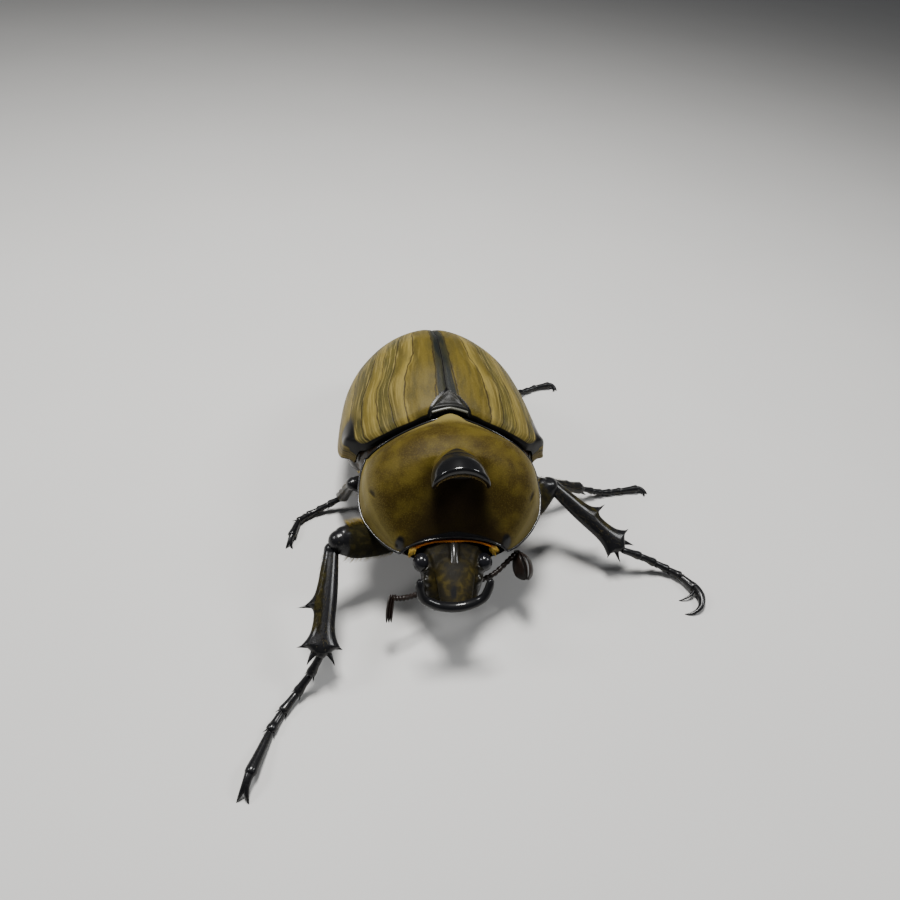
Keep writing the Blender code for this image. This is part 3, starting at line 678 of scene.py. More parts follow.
class Chitin(Look):
    """Glossy punctured shell, with short olive hair where the mark hair says so."""

    def __init__(self, tone: ChitinTone) -> None:
        """Make the finish.

        Args:
            tone: Its colours, gloss and punctures.
        """
        super().__init__(tone.name, Specular_IOR_Level=0.08, Coat_Roughness=tone.roughness)
        hair = self.mark("hair")
        grain = self.noise(4.0, 3.0)
        fine = self.noise(14.0, 2.0, (1.0, 1.0, 0.5))
        near = self.cells(tone.pits_per_mm)
        pits = self.soft_step(near, 0.28, 0.1)
        patch = self.noise(0.9, 3.0)
        furry = self.soft_step(hair + (fine - 0.5) * 0.8 + (patch - 0.5) * 1.0, 0.3, 0.9)
        shell = self.mixed(grain * 0.6, tone.base, tinted(tone.base, 1.9, 0.002))
        shell = self.mixed(self.soft_step(near, 0.15, 0.06) * tone.dots, shell, (0.07, 0.062, 0.036))
        fur = self.mixed(fine, tinted(tone.hair, 0.35), tone.hair)
        fur = self.mixed(self.soft_step(patch, 0.62, 0.44) * 0.9, fur, tinted(tone.hair, 0.2))
        fur = self.mixed(self.mark("dark"), fur, BLACK)
        self.give("Base Color", self.mixed(furry, shell, fur))
        self.give("Roughness", 0.35 + grain * 0.1 + furry * 0.2)
        self.give("Coat Weight", (1.0 - furry) * tone.mirror)
        self.bump((1.0 - pits) + grain * 0.35 + fine * furry * 1.5, tone.pit_depth)


class EyeGloss(Look):
    """Dark, faceted, glossy eye."""

    def __init__(self) -> None:
        """Make the finish."""
        super().__init__("eye_gloss", Specular_IOR_Level=0.3)
        haze = self.noise(0.8, 2.0)
        self.give("Base Color", self.mixed(haze, (0.003, 0.003, 0.0035), (0.007, 0.007, 0.009)))
        self.give("Roughness", 0.12 + haze * 0.12)
        self.bump(self.cells(11.0), 0.006)


class Seta(Look):
    """Hair of a fringe, darker at its root, each one a little different."""

    def __init__(self, name: str, root: Colour, tip: Colour) -> None:
        """Make the finish from the marks reach, along a hair, and shade, of a hair.

        Args:
            name: The material's name.
            root: The colour at the root.
            tip: The colour at the tip.
        """
        super().__init__(name, Specular_IOR_Level=0.35, Sheen_Weight=0.2, Sheen_Tint=tip)
        reach, shade = self.mark("reach"), self.mark("shade")
        colour = self.mixed(self.soft_step(reach, 0.0, 0.7), root, tip)
        self.give("Base Color", self.mixed(shade * 0.5, colour, tinted(tip, 0.45)))
        self.give("Roughness", 0.42 + shade * 0.2)


class Coat:
    """Hairs of one fringe or patch: thin closed blades joined in one mesh, rooted on a skin.

    RINGS are the places of its rings along a hair, which ends in a tip, SIDES is the number of
    points in each, ROOT_DEPTH is how deep a root sits in the skin, in millimetres, and CHART is
    half the size of a hair's chart on the unwrap.
    """

    RINGS: ClassVar[tuple[float, ...]] = (0.0, 0.38, 0.74)
    SIDES: ClassVar[int] = 3
    POINTS: ClassVar[int] = SIDES * len(RINGS) + 1
    ROOT_DEPTH: ClassVar[float] = 0.12
    CHART: ClassVar[float] = 0.0015

    def __init__(self, seed: int) -> None:
        """Start with no hairs and a seeded source of chance."""
        self.chance = random.Random(seed)
        self.rows: list[tuple] = []

    def add(self, root: Vector, way: Vector, bend: Vector, length: float, thick: float,
            patch: tuple[float, float]) -> None:
        """Add one hair.

        Args:
            root: Its place on the skin, in millimetres.
            way: The direction in which it leaves the skin.
            bend: How far its tip is carried aside, as a share of its length.
            length: Its length.
            thick: Half its width at the root.
            patch: Its root's place on an unwrap of the skin, each part from 0 to 1.
        """
        self.rows.append((*root, *way.normalized(), *bend, length, thick, *patch, self.chance.random()))

    def jitter(self, size: float) -> float:
        """Return a random number between -size and size."""
        return self.chance.uniform(-size, size)

    def finish(self, name: str, look: Look) -> bpy.types.Object:
        """Join the hairs to one piece with its patches on the map OFBake.

        Args:
            name: The piece's name.
            look: The finish of the hairs.

        Returns:
            The finished object.
        """
        data = np.array(self.rows, float)
        root, way, bend = data[:, 0:3], data[:, 3:6], data[:, 6:9]
        length, thick, patch, shade = data[:, 9:10], data[:, 10:11], data[:, 11:13], data[:, 13]
        side = np.cross(way, np.array([0.31, 0.47, 0.83]))
        side /= np.linalg.norm(side, axis=1, keepdims=True)
        other = np.cross(way, side)
        layers, reaches = [], []
        for u in self.RINGS:
            centre = root + way * length * u + bend * length * u * u - way * self.ROOT_DEPTH * (u == 0.0)
            for k in range(self.SIDES):
                turn = 2.0 * math.pi * k / self.SIDES
                spoke = (side * math.cos(turn) + other * math.sin(turn) * 0.7) * thick * (1.0 - 0.75 * u)
                layers.append(centre + spoke)
                reaches.append(u)
        layers.append(root + way * length + bend * length)
        reaches.append(1.0)
        spots = np.stack(layers, axis=1)
        single = [(0, 2, 1)]
        for ring in (0, 3):
            single += [(ring + k, ring + (k + 1) % 3, ring + (k + 1) % 3 + 3, ring + k + 3) for k in range(3)]
        single += [(6 + k, 6 + (k + 1) % 3, 9) for k in range(3)]
        starts = range(0, self.POINTS * len(data), self.POINTS)
        faces = [tuple(index + start for index in face) for start in starts for face in single]
        mesh = bpy.data.meshes.new(name)
        mesh.from_pydata(spots.reshape(-1, 3).tolist(), [], faces)
        marks = {"reach": np.tile(reaches, len(data)), "shade": np.repeat(shade, self.POINTS)}
        for label, values in marks.items():
            mesh.attributes.new(label, "FLOAT", "POINT").data.foreach_set("value", values.astype(np.float32))
        layer = mesh.uv_layers.new(name="OFBake")
        corner = np.empty(len(mesh.loops), np.int32)
        mesh.loops.foreach_get("vertex_index", corner)
        turns = np.array([k % self.SIDES - 1.0 for k in range(self.POINTS)])
        spread = np.stack([turns, np.array(reaches) * 2.0 - 1.0], axis=1) * self.CHART
        charts = patch[corner // self.POINTS] + spread[corner % self.POINTS]
        layer.data.foreach_set("uv", np.clip(charts, 0.0, 1.0).astype(np.float32).ravel())
        item = new_item(name, mesh)
        item.data.transform(BODY)
        return dress(item, look, Slot.HAIRED, (), 180.0)


@dataclass
class PronotumHorn:
    """The short blunt horn that overhangs the front of the shield."""

    look: Look
    lead: float = 9.83
    front: float = 16.5
    offset: float = 0.3
    lip: float = 0.965
    lip_hairs: int = 420
    width: Profile = Profile((0, 3.2), (0.5, 4.15), (0.8, 4.5), (1, 4.55))
    corner: Profile = Profile((0, 24.4), (0.5, 25.4), (1, 25.8))
    ridge: Profile = Profile((0, 27.3), (0.35, 28.7), (0.7, 29.5), (1, 29.4))
    hollow: Profile = Profile((0, 23.0), (0.5, 24.8), (0.8, 26.8), (1, 28.2))

    def along(self, y: Array) -> Array:
        """Return how far along the horn y is, from 0 at its root to 1 at its front."""
        return (-self.lead - y) / (self.front - self.lead)

    def top(self, x: Array, y: Array) -> Array:
        """Return the height of the horn's back.

        Args:
            x, y: Places of the floor plan, in millimetres.

        Returns:
            The height above each.
        """
        s = np.clip(self.along(y), 0.0, 1.0)
        share = np.abs(x - self.offset * s) / self.width(s)
        up = np.clip(1.0 - share ** 1.9, 0.0, 1.0) ** (1.0 / 1.9)
        outside = np.clip(share - 1.0, 0.0, None) * 9.0
        return self.corner(s) + (self.ridge(s) - self.corner(s)) * up - outside

    def build(self) -> None:
        """Make the horn: its back, its rounded front lip, its hollow underside and the hair below the lip."""
        form = Form()

        def place(along: Array, around: Array) -> Array:
            """Run along the horn and round its crescent cross-section, which closes at the lip.

            Args:
                along: 0 to 0.8 from the root to the lip, then 1 at the lip's middle.
                around: 0 to 0.5 over the back, then 1 along the underside.

            Returns:
                The places, (n, 3).
            """
            s = self.lip * np.minimum(along / 0.8, 1.0)
            roll = np.clip((along - 0.8) / 0.2, 0.0, 1.0) * math.pi / 2.0
            over = around < 0.5
            side, up = arc(np.where(over, around * 4.0 - 1.0, 3.0 - around * 4.0), 1.9)
            back = self.corner(s) + (self.ridge(s) - self.corner(s)) * up
            belly = self.corner(s) - 0.4 + (self.hollow(s) - self.corner(s) + 0.4) * up
            middle = (back + belly) / 2.0
            z = middle + (np.where(over, back, belly) - middle) * np.cos(roll)
            y = -self.lead - (self.front - self.lead) * s - 0.45 * np.sin(roll) + 0.5 * s * s * up
            wide = 0.93 + np.where(over, 0.07, -0.07) * np.cos(roll)
            return np.stack([self.offset * s + self.width(s) * side * wide, y, z], axis=1)

        form.sheet(96, 70, place)
        bmesh.ops.remove_doubles(form.bm, verts=form.bm.verts, dist=0.02)
        form.cap()
        form.split_caps()
        # The lip's underside takes the hollow mark: painted shade under the overhang.
        marks = {"bare": lambda *spot: self.bare(*spot) * (1.0 - self.under(*spot)), "hollow": self.under}
        form.finish("pronotum_horn_gloss", self.look, Slot.GLOSS, ["pronotum_horn"], voxel=FINE_CELL,
                    soften=5, sharp=180.0, marks=marks)
        self.lip_fringe()

    def lip_fringe(self) -> None:
        """Make the short golden hair below the lip."""
        coat = Coat(13)
        corner, hollow, half = (float(shape(self.lip)) for shape in (self.corner, self.hollow, self.width))
        for _ in range(self.lip_hairs):
            t = coat.jitter(0.8)
            side, up = (float(part[0]) for part in arc(np.array([t]), 1.9))
            rise = corner - 0.4 + (hollow - corner + 0.4) * up
            root = Vector((self.offset + half * side * 0.88, -self.front + 0.45 * up, rise + 0.12))
            way = Vector((coat.jitter(0.15), -0.35 + coat.jitter(0.15), -0.9))
            coat.add(root, way, Vector((0, 0.1, 0)), 0.42 + coat.jitter(0.08), 0.03,
                     (0.5 + 0.1 * t, 0.45 + 0.02 * coat.chance.random()))
        coat.finish("horn_lip_fringe", Seta("gold_seta", (0.1, 0.06, 0.01), (0.3, 0.2, 0.05)))

    def bare(self, x: Array, y: Array, z: Array) -> Array:
        """Return where the horn is bare: a wedge that opens forward over its back, and its lip.

        Args:
            x, y, z: Places in millimetres.

        Returns:
            Its share at each place, from 0 to 1.
        """
        s = self.along(y)
        off = np.abs(x - self.offset * s)
        half = 0.5 + 5.8 * np.clip(s - 0.02, 0.0, 1.0) ** 0.8
        return (1.0 - ease(off - half, -0.7, 0.5)) * ease(s, -0.16, 0.2)

    def under(self, x: Array, y: Array, z: Array) -> Array:
        """Return where the underside of the lip is: short hair, darkened with painted shade under the
        overhang.

        Args:
            x, y, z: Places in millimetres.

        Returns:
            Its share at each place, from 0 to 1.
        """
        s = np.clip(self.along(y), 0.0, 1.0)
        share = np.clip(1.0 - (np.abs(x - self.offset * s) / self.width(s)) ** 1.9, 0.0, 1.0) ** (1.0 / 1.9)
        belly = self.corner(s) - 0.6 + (self.hollow(s) - self.corner(s) + 0.6) * share
        return ease(belly + 0.12 - z, -0.12, 0.06) * ease(s, 0.1, 0.7)


@dataclass
class Pronotum:
    """The velvet shield over the forebody, with its bead and the fringes of its margins."""

    velvet: Look
    gloss: Look
    horn: PronotumHorn
    length: float = 18.2
    rear_sweep: float = 3.2
    front_sweep: float = 1.1
    bead: float = 0.2
    angle: float = 8.6
    width: Profile = Profile((0, 14.3), (0.18, 15.2), (0.4, 15.5), (0.6, 15.0), (0.75, 13.7), (0.88, 11.7),
                             (0.96, 9.9), (1, 8.6))
    margin: Profile = Profile((0, 18.7), (0.4, 16.2), (0.75, 14.6), (1, 13.4))
    top: Profile = Profile((0, 25.5), (0.2, 27.1), (0.4, 28.0), (0.55, 27.6), (0.7, 25.7), (0.85, 21.4),
                           (1, 15.8))
    dip: Profile = Profile((0.6, 0.0), (0.74, 2.4), (0.86, 1.2), (1, 0.0))
    pits: tuple[tuple[float, float], ...] = ((-13.1, -12.6), (12.7, -13.4))

    def base(self, s: Array, t: Array) -> Array:
        """Return places of the shield without the horn's root.

        Args:
            s: From 0 at the rear to 1 at the front.
            t: From -1 to 1 across.

        Returns:
            The places, (n, 3).
        """
        ahead = ease(s, 0.0, 0.32)
        across, up = arc(t, 1.45 + 0.7 * ahead)
        flare = 0.4 * ease(np.abs(t), 0.9, 1.0) - 0.65 + 0.35 * ease(s, 0.7, 1.0)
        x = (self.width(s) + flare) * across
        sweep = self.rear_sweep + (self.front_sweep - self.rear_sweep) * s
        y = -self.length * s - sweep * (ahead * across * across + (1.0 - ahead) * np.abs(across) ** 1.15)
        z = self.margin(s) + (self.top(s) - self.margin(s)) * up
        return np.stack([x, y, z - self.dip(s) * np.exp(-(x / 4.6) ** 4)], axis=1)

    def hill(self, x: Array, y: Array) -> Array:
        """Return the height of the skin that is drawn up over the horn's root."""
        s = self.horn.along(y)
        cover = 0.1 - 14.0 * ease(s, 0.3, 0.62) - 1.2 * np.clip(-s, 0.0, 1.0)
        return self.horn.top(x, y) + cover

    def skin(self, s: Array, t: Array) -> Array:
        """Return places of the shield's skin.

        Args:
            s: From 0 at the rear to 1 at the front.
            t: From -1 to 1 across.

        Returns:
            The places, (n, 3).
        """
        spots = self.base(s, t)
        x, y, z = spots.T
        z = blend_max(z, self.hill(x, y), 0.7)
        z = z - 0.3 * self.pit(x, y, z)
        z = z - 0.12 * np.exp(-(x / 0.16) ** 2) * ease(s, 0.78, 0.84)
        z = z + 0.6 * np.exp(-((np.abs(x + 0.2) - self.angle) / 0.85) ** 2 - ((y + 18.45) / 0.65) ** 2)
        return np.stack([x, y, z], axis=1)

    def bare(self, x: Array, y: Array, z: Array) -> Array:
        """Return where the skin is bare and glossy: over the horn's root and at the front angles.

        Args:
            x, y, z: Places in millimetres.

        Returns:
            Its share at each place, from 0 to 1.
        """
        s = self.horn.along(y)
        root = self.horn.bare(x, y, z) * (1.0 - ease(s, 0.35, 0.5))
        knob = 0.85 * np.exp(-((np.abs(x + 0.2) - self.angle) / 0.9) ** 2 - ((y + 18.6) / 0.6) ** 2)
        share = np.abs(x) / self.angle
        brow = ease(-y - 1.1 * share ** 2 - 0.5 * share, 17.3, 17.9) * (1.0 - 0.5 * ease(np.abs(x), 5.0, 8.0))
        return np.clip(root + knob * 1.1 + brow * 0.9, 0.0, 1.0)

    def hollow(self, x: Array, y: Array, z: Array) -> Array:
        """Return where the front hollow is darkened: its own dark brown, with painted shade from the horn,
        deepest nearest it.
        """
        half = np.interp(-y, [12.0, 14.0, 16.0, 17.3, 18.4], [3.4, 3.9, 4.6, 6.0, 8.0])
        # Painted shade strongest just under the horn, a little lighter towards the front margin.
        depth = ease(-y, 11.6, 12.6) * (1.0 - 0.15 * ease(-y, 14.5, 17.5))
        return (1.0 - ease(np.abs(x - 0.4), half - 1.8, half + 2.6)) * depth

    def rim(self, x: Array, y: Array, z: Array) -> Array:
        """Return where the velvet grows lighter: towards the side margins and the rear.

        Args:
            x, y, z: Places in millimetres.

        Returns:
            Its share at each place, from 0 to 1.
        """
        s = np.clip((-y - 1.5) / self.length, 0.0, 1.0)
        share = np.abs(x) / (self.width(s) - 0.35)
        ridge = np.exp(-((share - 0.955) / 0.022) ** 2) * 0.6
        return np.clip(ridge + 0.45 * ease(share, 0.75, 0.95) + 0.8 * (1.0 - ease(-y, 0.2, 4.0)), 0.0, 1.4)

    def pit(self, x: Array, y: Array, z: Array) -> Array:
        """Return where the two small side pits are.

        Args:
            x, y, z: Places in millimetres.

        Returns:
            Its share at each place, from 0 to 1.
        """
        total = np.zeros_like(x)
        for side, along in self.pits:
            away = (x - side) * 0.5 * math.copysign(1.0, -side) - (y - along) * 0.86
            off = (x - side) * 0.86 * math.copysign(1.0, -side) + (y - along) * 0.5
            total = total + np.exp(-(off / 0.2) ** 2 - (away / 1.0) ** 2)
        return total

    def edge(self, count: int) -> list[Station]:
        """Return the bead round the whole margin as cross-sections.

        Args:
            count: How many places to try on each side.

        Returns:
            The cross-sections in order.
        """
        side = np.linspace(0.0, 1.0, count)
        across = np.linspace(-0.985, 0.985, count)
        ring = np.vstack([self.base(side, np.full(count, -1.0)), self.base(np.ones(count), across),
                          self.base(side[::-1], np.ones(count)), self.base(np.zeros(count), -across)])
        keep = [ring[0]]
        for spot in ring[1:]:
            if np.linalg.norm(spot - keep[-1]) > 0.25:
                keep.append(spot)
        return [Station(Vector((x * 1.008, y, z + 0.1)), self.bead, self.bead) for x, y, z in keep]

    def build(self) -> None:
        """Make the skin, its bead, the fringes and the horn."""
        form = Form()
        form.sheet(190, 130, lambda along, across: self.skin(along, across * 2.0 - 1.0))
        # hollow: the front hollow's dark brown with painted shade under the horn
        form.finish("pronotum_velvet", self.velvet, Slot.VELVET, ["pronotum"], outward=(0, 0, 1), shell=0.5,
                    marks={"bare": self.bare, "hollow": self.hollow, "rim": self.rim, "pit": self.pit})
        bead = Form()
        bead.limb(self.edge(90), (0, 0, 1), 10)
        bead.finish("pronotum_bead", self.gloss, Slot.GLOSS, sharp=180.0)
        self.corner_tufts()
        self.front_fringe()
        self.rear_fringe()
        self.horn.build()

    def corner_tufts(self, count: int = 240) -> None:
        """Make the yellow tufts at the ends of the front margin.

        Args:
            count: How many hairs.
        """
        coat = Coat(14)
        for k in range(count):
            hand = -1 if k % 2 else 1
            out = hand * (6.5 + coat.jitter(0.5)) - 0.1
            root = Vector((out, -19.1 + coat.jitter(0.2), 14.3 + coat.jitter(0.3)))
            way = Vector((hand * 0.5 + coat.jitter(0.3), -0.8, -0.4 + coat.jitter(0.3)))
            coat.add(root, way, Vector((0, 0, -0.3)), 0.7 + coat.jitter(0.15), 0.035,
                     (0.5 + hand * 0.45, 0.3 + coat.chance.random() * 0.05))
        yellow = Seta("yellow_seta", (0.2, 0.11, 0.015), (0.5, 0.33, 0.05))
        coat.finish("pronotum_corner_tufts", yellow)

    def front_fringe(self, count: int = 900) -> None:
        """Make the orange fringe under the front margin.

        Args:
            count: How many hairs.
        """
        coat = Coat(11)
        for share in np.linspace(0.0, 1.0, count).tolist():
            t = 2.0 * share - 1.0
            ends = abs(t) ** 3
            side, fore, drop = coat.jitter(0.15), coat.jitter(0.12), coat.jitter(0.15)
            way = Vector((t * 0.25 + side, -0.95 + fore, -0.3 - 0.5 * ends + drop))
            root = Vector((7.0 * t - 0.1, -18.3 - 0.85 * t * t, 15.3 - 1.1 * ends + coat.jitter(0.1)))
            length = 0.16 + 0.16 * math.exp(-(t / 0.2) ** 2) + 0.42 * ends ** 2
            coat.add(root, way, Vector((0, -0.1, -0.3)), length + coat.jitter(0.06), 0.03,
                     (0.05 + 0.9 * share, 0.1 + coat.chance.random() * 0.1))
        orange = Seta("orange_seta", (0.5, 0.1, 0.008), (0.9, 0.3, 0.025))
        coat.finish("pronotum_front_fringe", orange)

    def rear_fringe(self, count: int = 1300) -> None:
        """Make the pale golden fringe that reaches back from the rear margin.

        Args:
            count: How many hairs.
        """
        coat = Coat(12)
        for share in np.linspace(0.0, 1.0, count).tolist():
            spot = Vector(self.base(np.zeros(1), np.array([0.93 * (2.0 * share - 1.0)]))[0])
            way = Vector((coat.jitter(0.15), 0.8, -0.45 + coat.jitter(0.2)))
            coat.add(spot + Vector((0, -0.2, -0.3)), way, Vector((0, 0, -0.3)), 0.5 + coat.jitter(0.1), 0.03,
                     (0.05 + 0.9 * share, 0.8 + coat.chance.random() * 0.1))
        pale = Seta("pale_seta", (0.1, 0.06, 0.01), (0.34, 0.25, 0.08))
        coat.finish("pronotum_rear_fringe", pale)


@dataclass
class Elytra:
    """The two wing covers, with their lines, shoulders and suture."""

    velvet: Look
    front: float = 1.3
    length: float = 37.0
    suture: float = 0.05
    lip: float = 0.5
    width: Profile = Profile((0.8, 17.0), (2, 18.4), (5, 18.9), (13, 18.5), (17, 18.05), (21, 17.1),
                             (25, 15.35), (29, 13.3), (33, 10.9), (36, 8.1), (37.6, 5.3), (38.4, 2.4))
    top: Profile = Profile((0.8, 25.3), (2, 26.4), (6, 27.5), (12, 28.5), (18, 28.2), (24, 26.4),
                           (29.4, 23.1), (34, 19.0), (37, 14.7), (38.5, 11.2))
    margin: Profile = Profile((0.8, 14.6), (4, 12.6), (10, 10.8), (20, 9.8), (30, 9.8), (38.5, 10.2))
    roundness: Profile = Profile((0.8, 2.1), (20, 1.95), (38.5, 1.75))
    sweep: Profile = Profile((0, 0), (0.22, 0.3), (0.36, 1.0), (0.54, 1.7), (0.67, 2.0), (0.8, 1.9),
                             (0.9, 1.1), (1, 0))
    droop: Profile = Profile((0, 0), (0.25, 0.1), (0.36, 0.5), (0.54, 0.7), (0.67, 0.9), (0.8, 1.1),
                             (0.92, 0.5), (1, 0))
    lines: tuple[Profile, ...] = (
        Profile((0, 0.0), (38, 0.0)), Profile((5, 0.058), (12, 0.045), (38, 0.045)),
        Profile((2, 0.25), (6, 0.245), (10, 0.22), (15, 0.18), (38, 0.185)),
        Profile((2, 0.33), (7, 0.34), (12, 0.30), (20, 0.28), (38, 0.3)),
        Profile((3, 0.43), (7, 0.43), (11, 0.39), (20, 0.37), (38, 0.4)),
        Profile((4, 0.57), (8, 0.54), (12, 0.49), (20, 0.46), (38, 0.5)),
        Profile((4, 0.69), (10, 0.65), (18, 0.61), (38, 0.64)), Profile((2, 0.9), (12, 0.86), (38, 0.86)),
        Profile((0, 1.0), (38, 1.0)))

    @staticmethod
    def lean(y: Array) -> Array:
        """Return how far the hind body is turned to the beetle's right."""
        return -0.035 * np.clip(y - 3.0, 0.0, None) - 0.3 * ease(y, 1.0, 8.0)

    def surface(self, hand: int, along: Array, t: Array) -> Array:
        """Return places of one cover, with its rolled front lip.

        Args:
            hand: -1 for the right cover, 1 for the left.
            along: From 0 at the front to 1 at the rear.
            t: From 0 at the suture to 1 at the margin.

        Returns:
            The places, (n, 3).
        """
        roll = np.clip(1.0 - along / 0.06, 0.0, 1.0) * 1.6
        turn = np.clip(roll, 0.0, 1.0) * math.pi / 2.0
        y = self.run(along) - self.lip * np.sin(turn)
        inset = self.lip * (1.0 - np.cos(turn)) + 0.8 * np.clip(roll - 1.0, 0.0, None)
        across, up = arc(t, self.roundness(y))
        shoulder = 0.5 * np.exp(-((y - 2.2) / 1.6) ** 2 - ((t - 0.76) / 0.09) ** 2)
        rim = 0.16 * np.exp(-((t - 0.985) / 0.02) ** 2)
        x = np.maximum(self.suture, (self.width(y) - inset + shoulder + rim) * across)
        share, soft = x / self.width(y), 1.0 - ease(y, 1.0, 8.0)
        rise = np.maximum(self.top(y) - inset + shoulder - self.margin(y), 0.35)
        seam = 0.15 * np.exp(-(x / 0.25) ** 2) + 0.2 * np.exp(-(x / 1.1) ** 2) * ease(y, 12.0, 20.0)
        z = self.margin(y) + rise * up - seam - self.droop(share) * soft
        return np.stack([hand * x + self.lean(y), y - self.sweep(share) * soft, z], axis=1)

    def run(self, along: Array) -> Array:
        """Return y before the front lip and its sweep."""
        return self.front + self.length * np.sin(np.clip((along - 0.06) / 0.94, 0.0, 1.0) * math.pi / 2.0)

    def lane(self, along: Array, t: Array) -> Array:
        """Return the place between the long lines.

        Args:
            along: From 0 at the front to 1 at the rear.
            t: From 0 at the suture to 1 at the margin.

        Returns:
            Whole numbers on the lines, -1 at the suture.
        """
        y = self.run(along)
        value = np.full(t.shape, -1.0)
        for k, (near, far) in enumerate(zip(self.lines, self.lines[1:])):
            low, high = near(y), far(y)
            value = np.where(t >= low, k - 1.0 + (t - low) / (high - low), value)
        return value

    def bare(self, along: Array, t: Array) -> Array:
        """Return where the covers are bare black: the front lip, the shoulders and round the scutellum.

        Args:
            along: From 0 at the front to 1 at the rear.
            t: From 0 at the suture to 1 at the margin.

        Returns:
            Its share at each place, from 0 to 1.
        """
        y = self.run(along)
        across, _ = arc(t, self.roundness(y))
        lip = (1.0 - ease(along, 0.04, 0.058)) * (1.0 - ease(t, 0.84, 0.9))
        shoulder = np.exp(-((y - 2.4) / 2.8) ** 4 - ((t - 0.745) / 0.085) ** 4) * 1.3
        halo = 0.6 * np.exp(-((y - 5.2) / 3.0) ** 2 - ((t - 0.70) / 0.13) ** 2)
        beside = 1.0 - ease(self.width(y) * across - Scutellum.half(y), 0.3, 0.65)
        return np.clip(lip + shoulder + halo + beside * (y < 5.6), 0.0, 1.0)

    def build(self) -> None:
        """Make both covers."""
        for hand, word in ((-1, "right"), (1, "left")):
            form = Form()
            form.sheet(150, 190, lambda along, across, hand=hand: self.surface(hand, along, across),
                       {"lane": self.lane, "bare": self.bare})
            form.finish("elytron_%s_velvet" % word, self.velvet, Slot.VELVET, ["elytron_%s" % word],
                        outward=(hand, 0, 1), shell=0.55)


@dataclass
class Scutellum:
    """The small glossy triangular plate between the bases of the wing covers."""

    look: Look
    gloss: Look
    start: ClassVar[float] = 0.5
    length: ClassVar[float] = 4.4

    @classmethod
    def half(cls, y: Array) -> Array:
        """Return half the plate's width at y, below zero behind its tip."""
        s = (y - cls.start) / cls.length
        plate = 3.5 * np.clip(1.0 - np.clip(s, 0.0, 1.0) ** 1.5, 0.0, 1.0) ** 0.85
        return plate - np.clip(y - cls.start - cls.length, 0.0, None) * 0.6

    def build(self) -> None:
        """Make the plate, raised at its front edge and dished behind it."""
        form = Form()

        def place(along: Array, across: Array) -> Array:
            """Run from the front edge to the tip.

            Args:
                along: 0 at the front edge, 1 at the tip.
                across: From 0 to 1.

            Returns:
                The places, (n, 3).
            """
            t = across * 2.0 - 1.0
            y = self.start + self.length * along ** 0.7
            x = self.half(y) * t
            inset = (self.half(y) + 0.02) * (1.0 - np.abs(t))
            edge = 1.0 - ease(inset, 0.0, 0.35)
            front = 1.0 - ease(y, 0.6, 1.15)
            dish = ease(inset, 0.4, 1.3) * ease(y, 1.3, 2.2) * (1.0 - ease(y, 3.0, 4.6))
            z = 26.75 + 0.2 * (y - 1.2) - 0.5 * edge * edge - 0.9 * front - 0.22 * dish
            y = y + 0.45 * (1.0 - t * t) * (1.0 - ease(y, 0.5, 3.0))
            z = z - 0.05 * x * x
            return np.stack([x, y, z], axis=1)

        form.sheet(40, 50, place)
        form.finish("scutellum_gloss", self.look, Slot.GLOSS, ["scutellum"], outward=(0, 0, 1), shell=0.7,
                    sharp=60.0, marks={"hair": self.dull})
        bead = Form()
        rail = []
        for t in np.linspace(-0.94, 0.94, 30):
            bend = 1.0 - abs(t) ** 1.35
            rail.append((3.25 * t, 0.72 + 0.45 * bend, 26.25 + 0.12 * bend - 0.55 * (1.0 - bend)))
        bead.limb([Station(Vector(spot), 0.27, 0.27) for spot in rail], (0, 0, 1), 12)
        bead.finish("scutellum_bead", self.gloss, Slot.GLOSS, sharp=180.0)

    def dull(self, x: Array, y: Array, z: Array) -> Array:
        """Return where the plate is dull: in its dish and on its flanks."""
        dish = 0.45 * ease(y, 1.6, 2.6) * (1.0 - ease(y, 3.6, 5.2))
        flank = ease(np.abs(x) / np.maximum(self.half(y), 0.3), 0.68, 0.84) * ease(y, 1.2, 1.7)
        return np.clip(dish + flank, 0.0, 1.0)


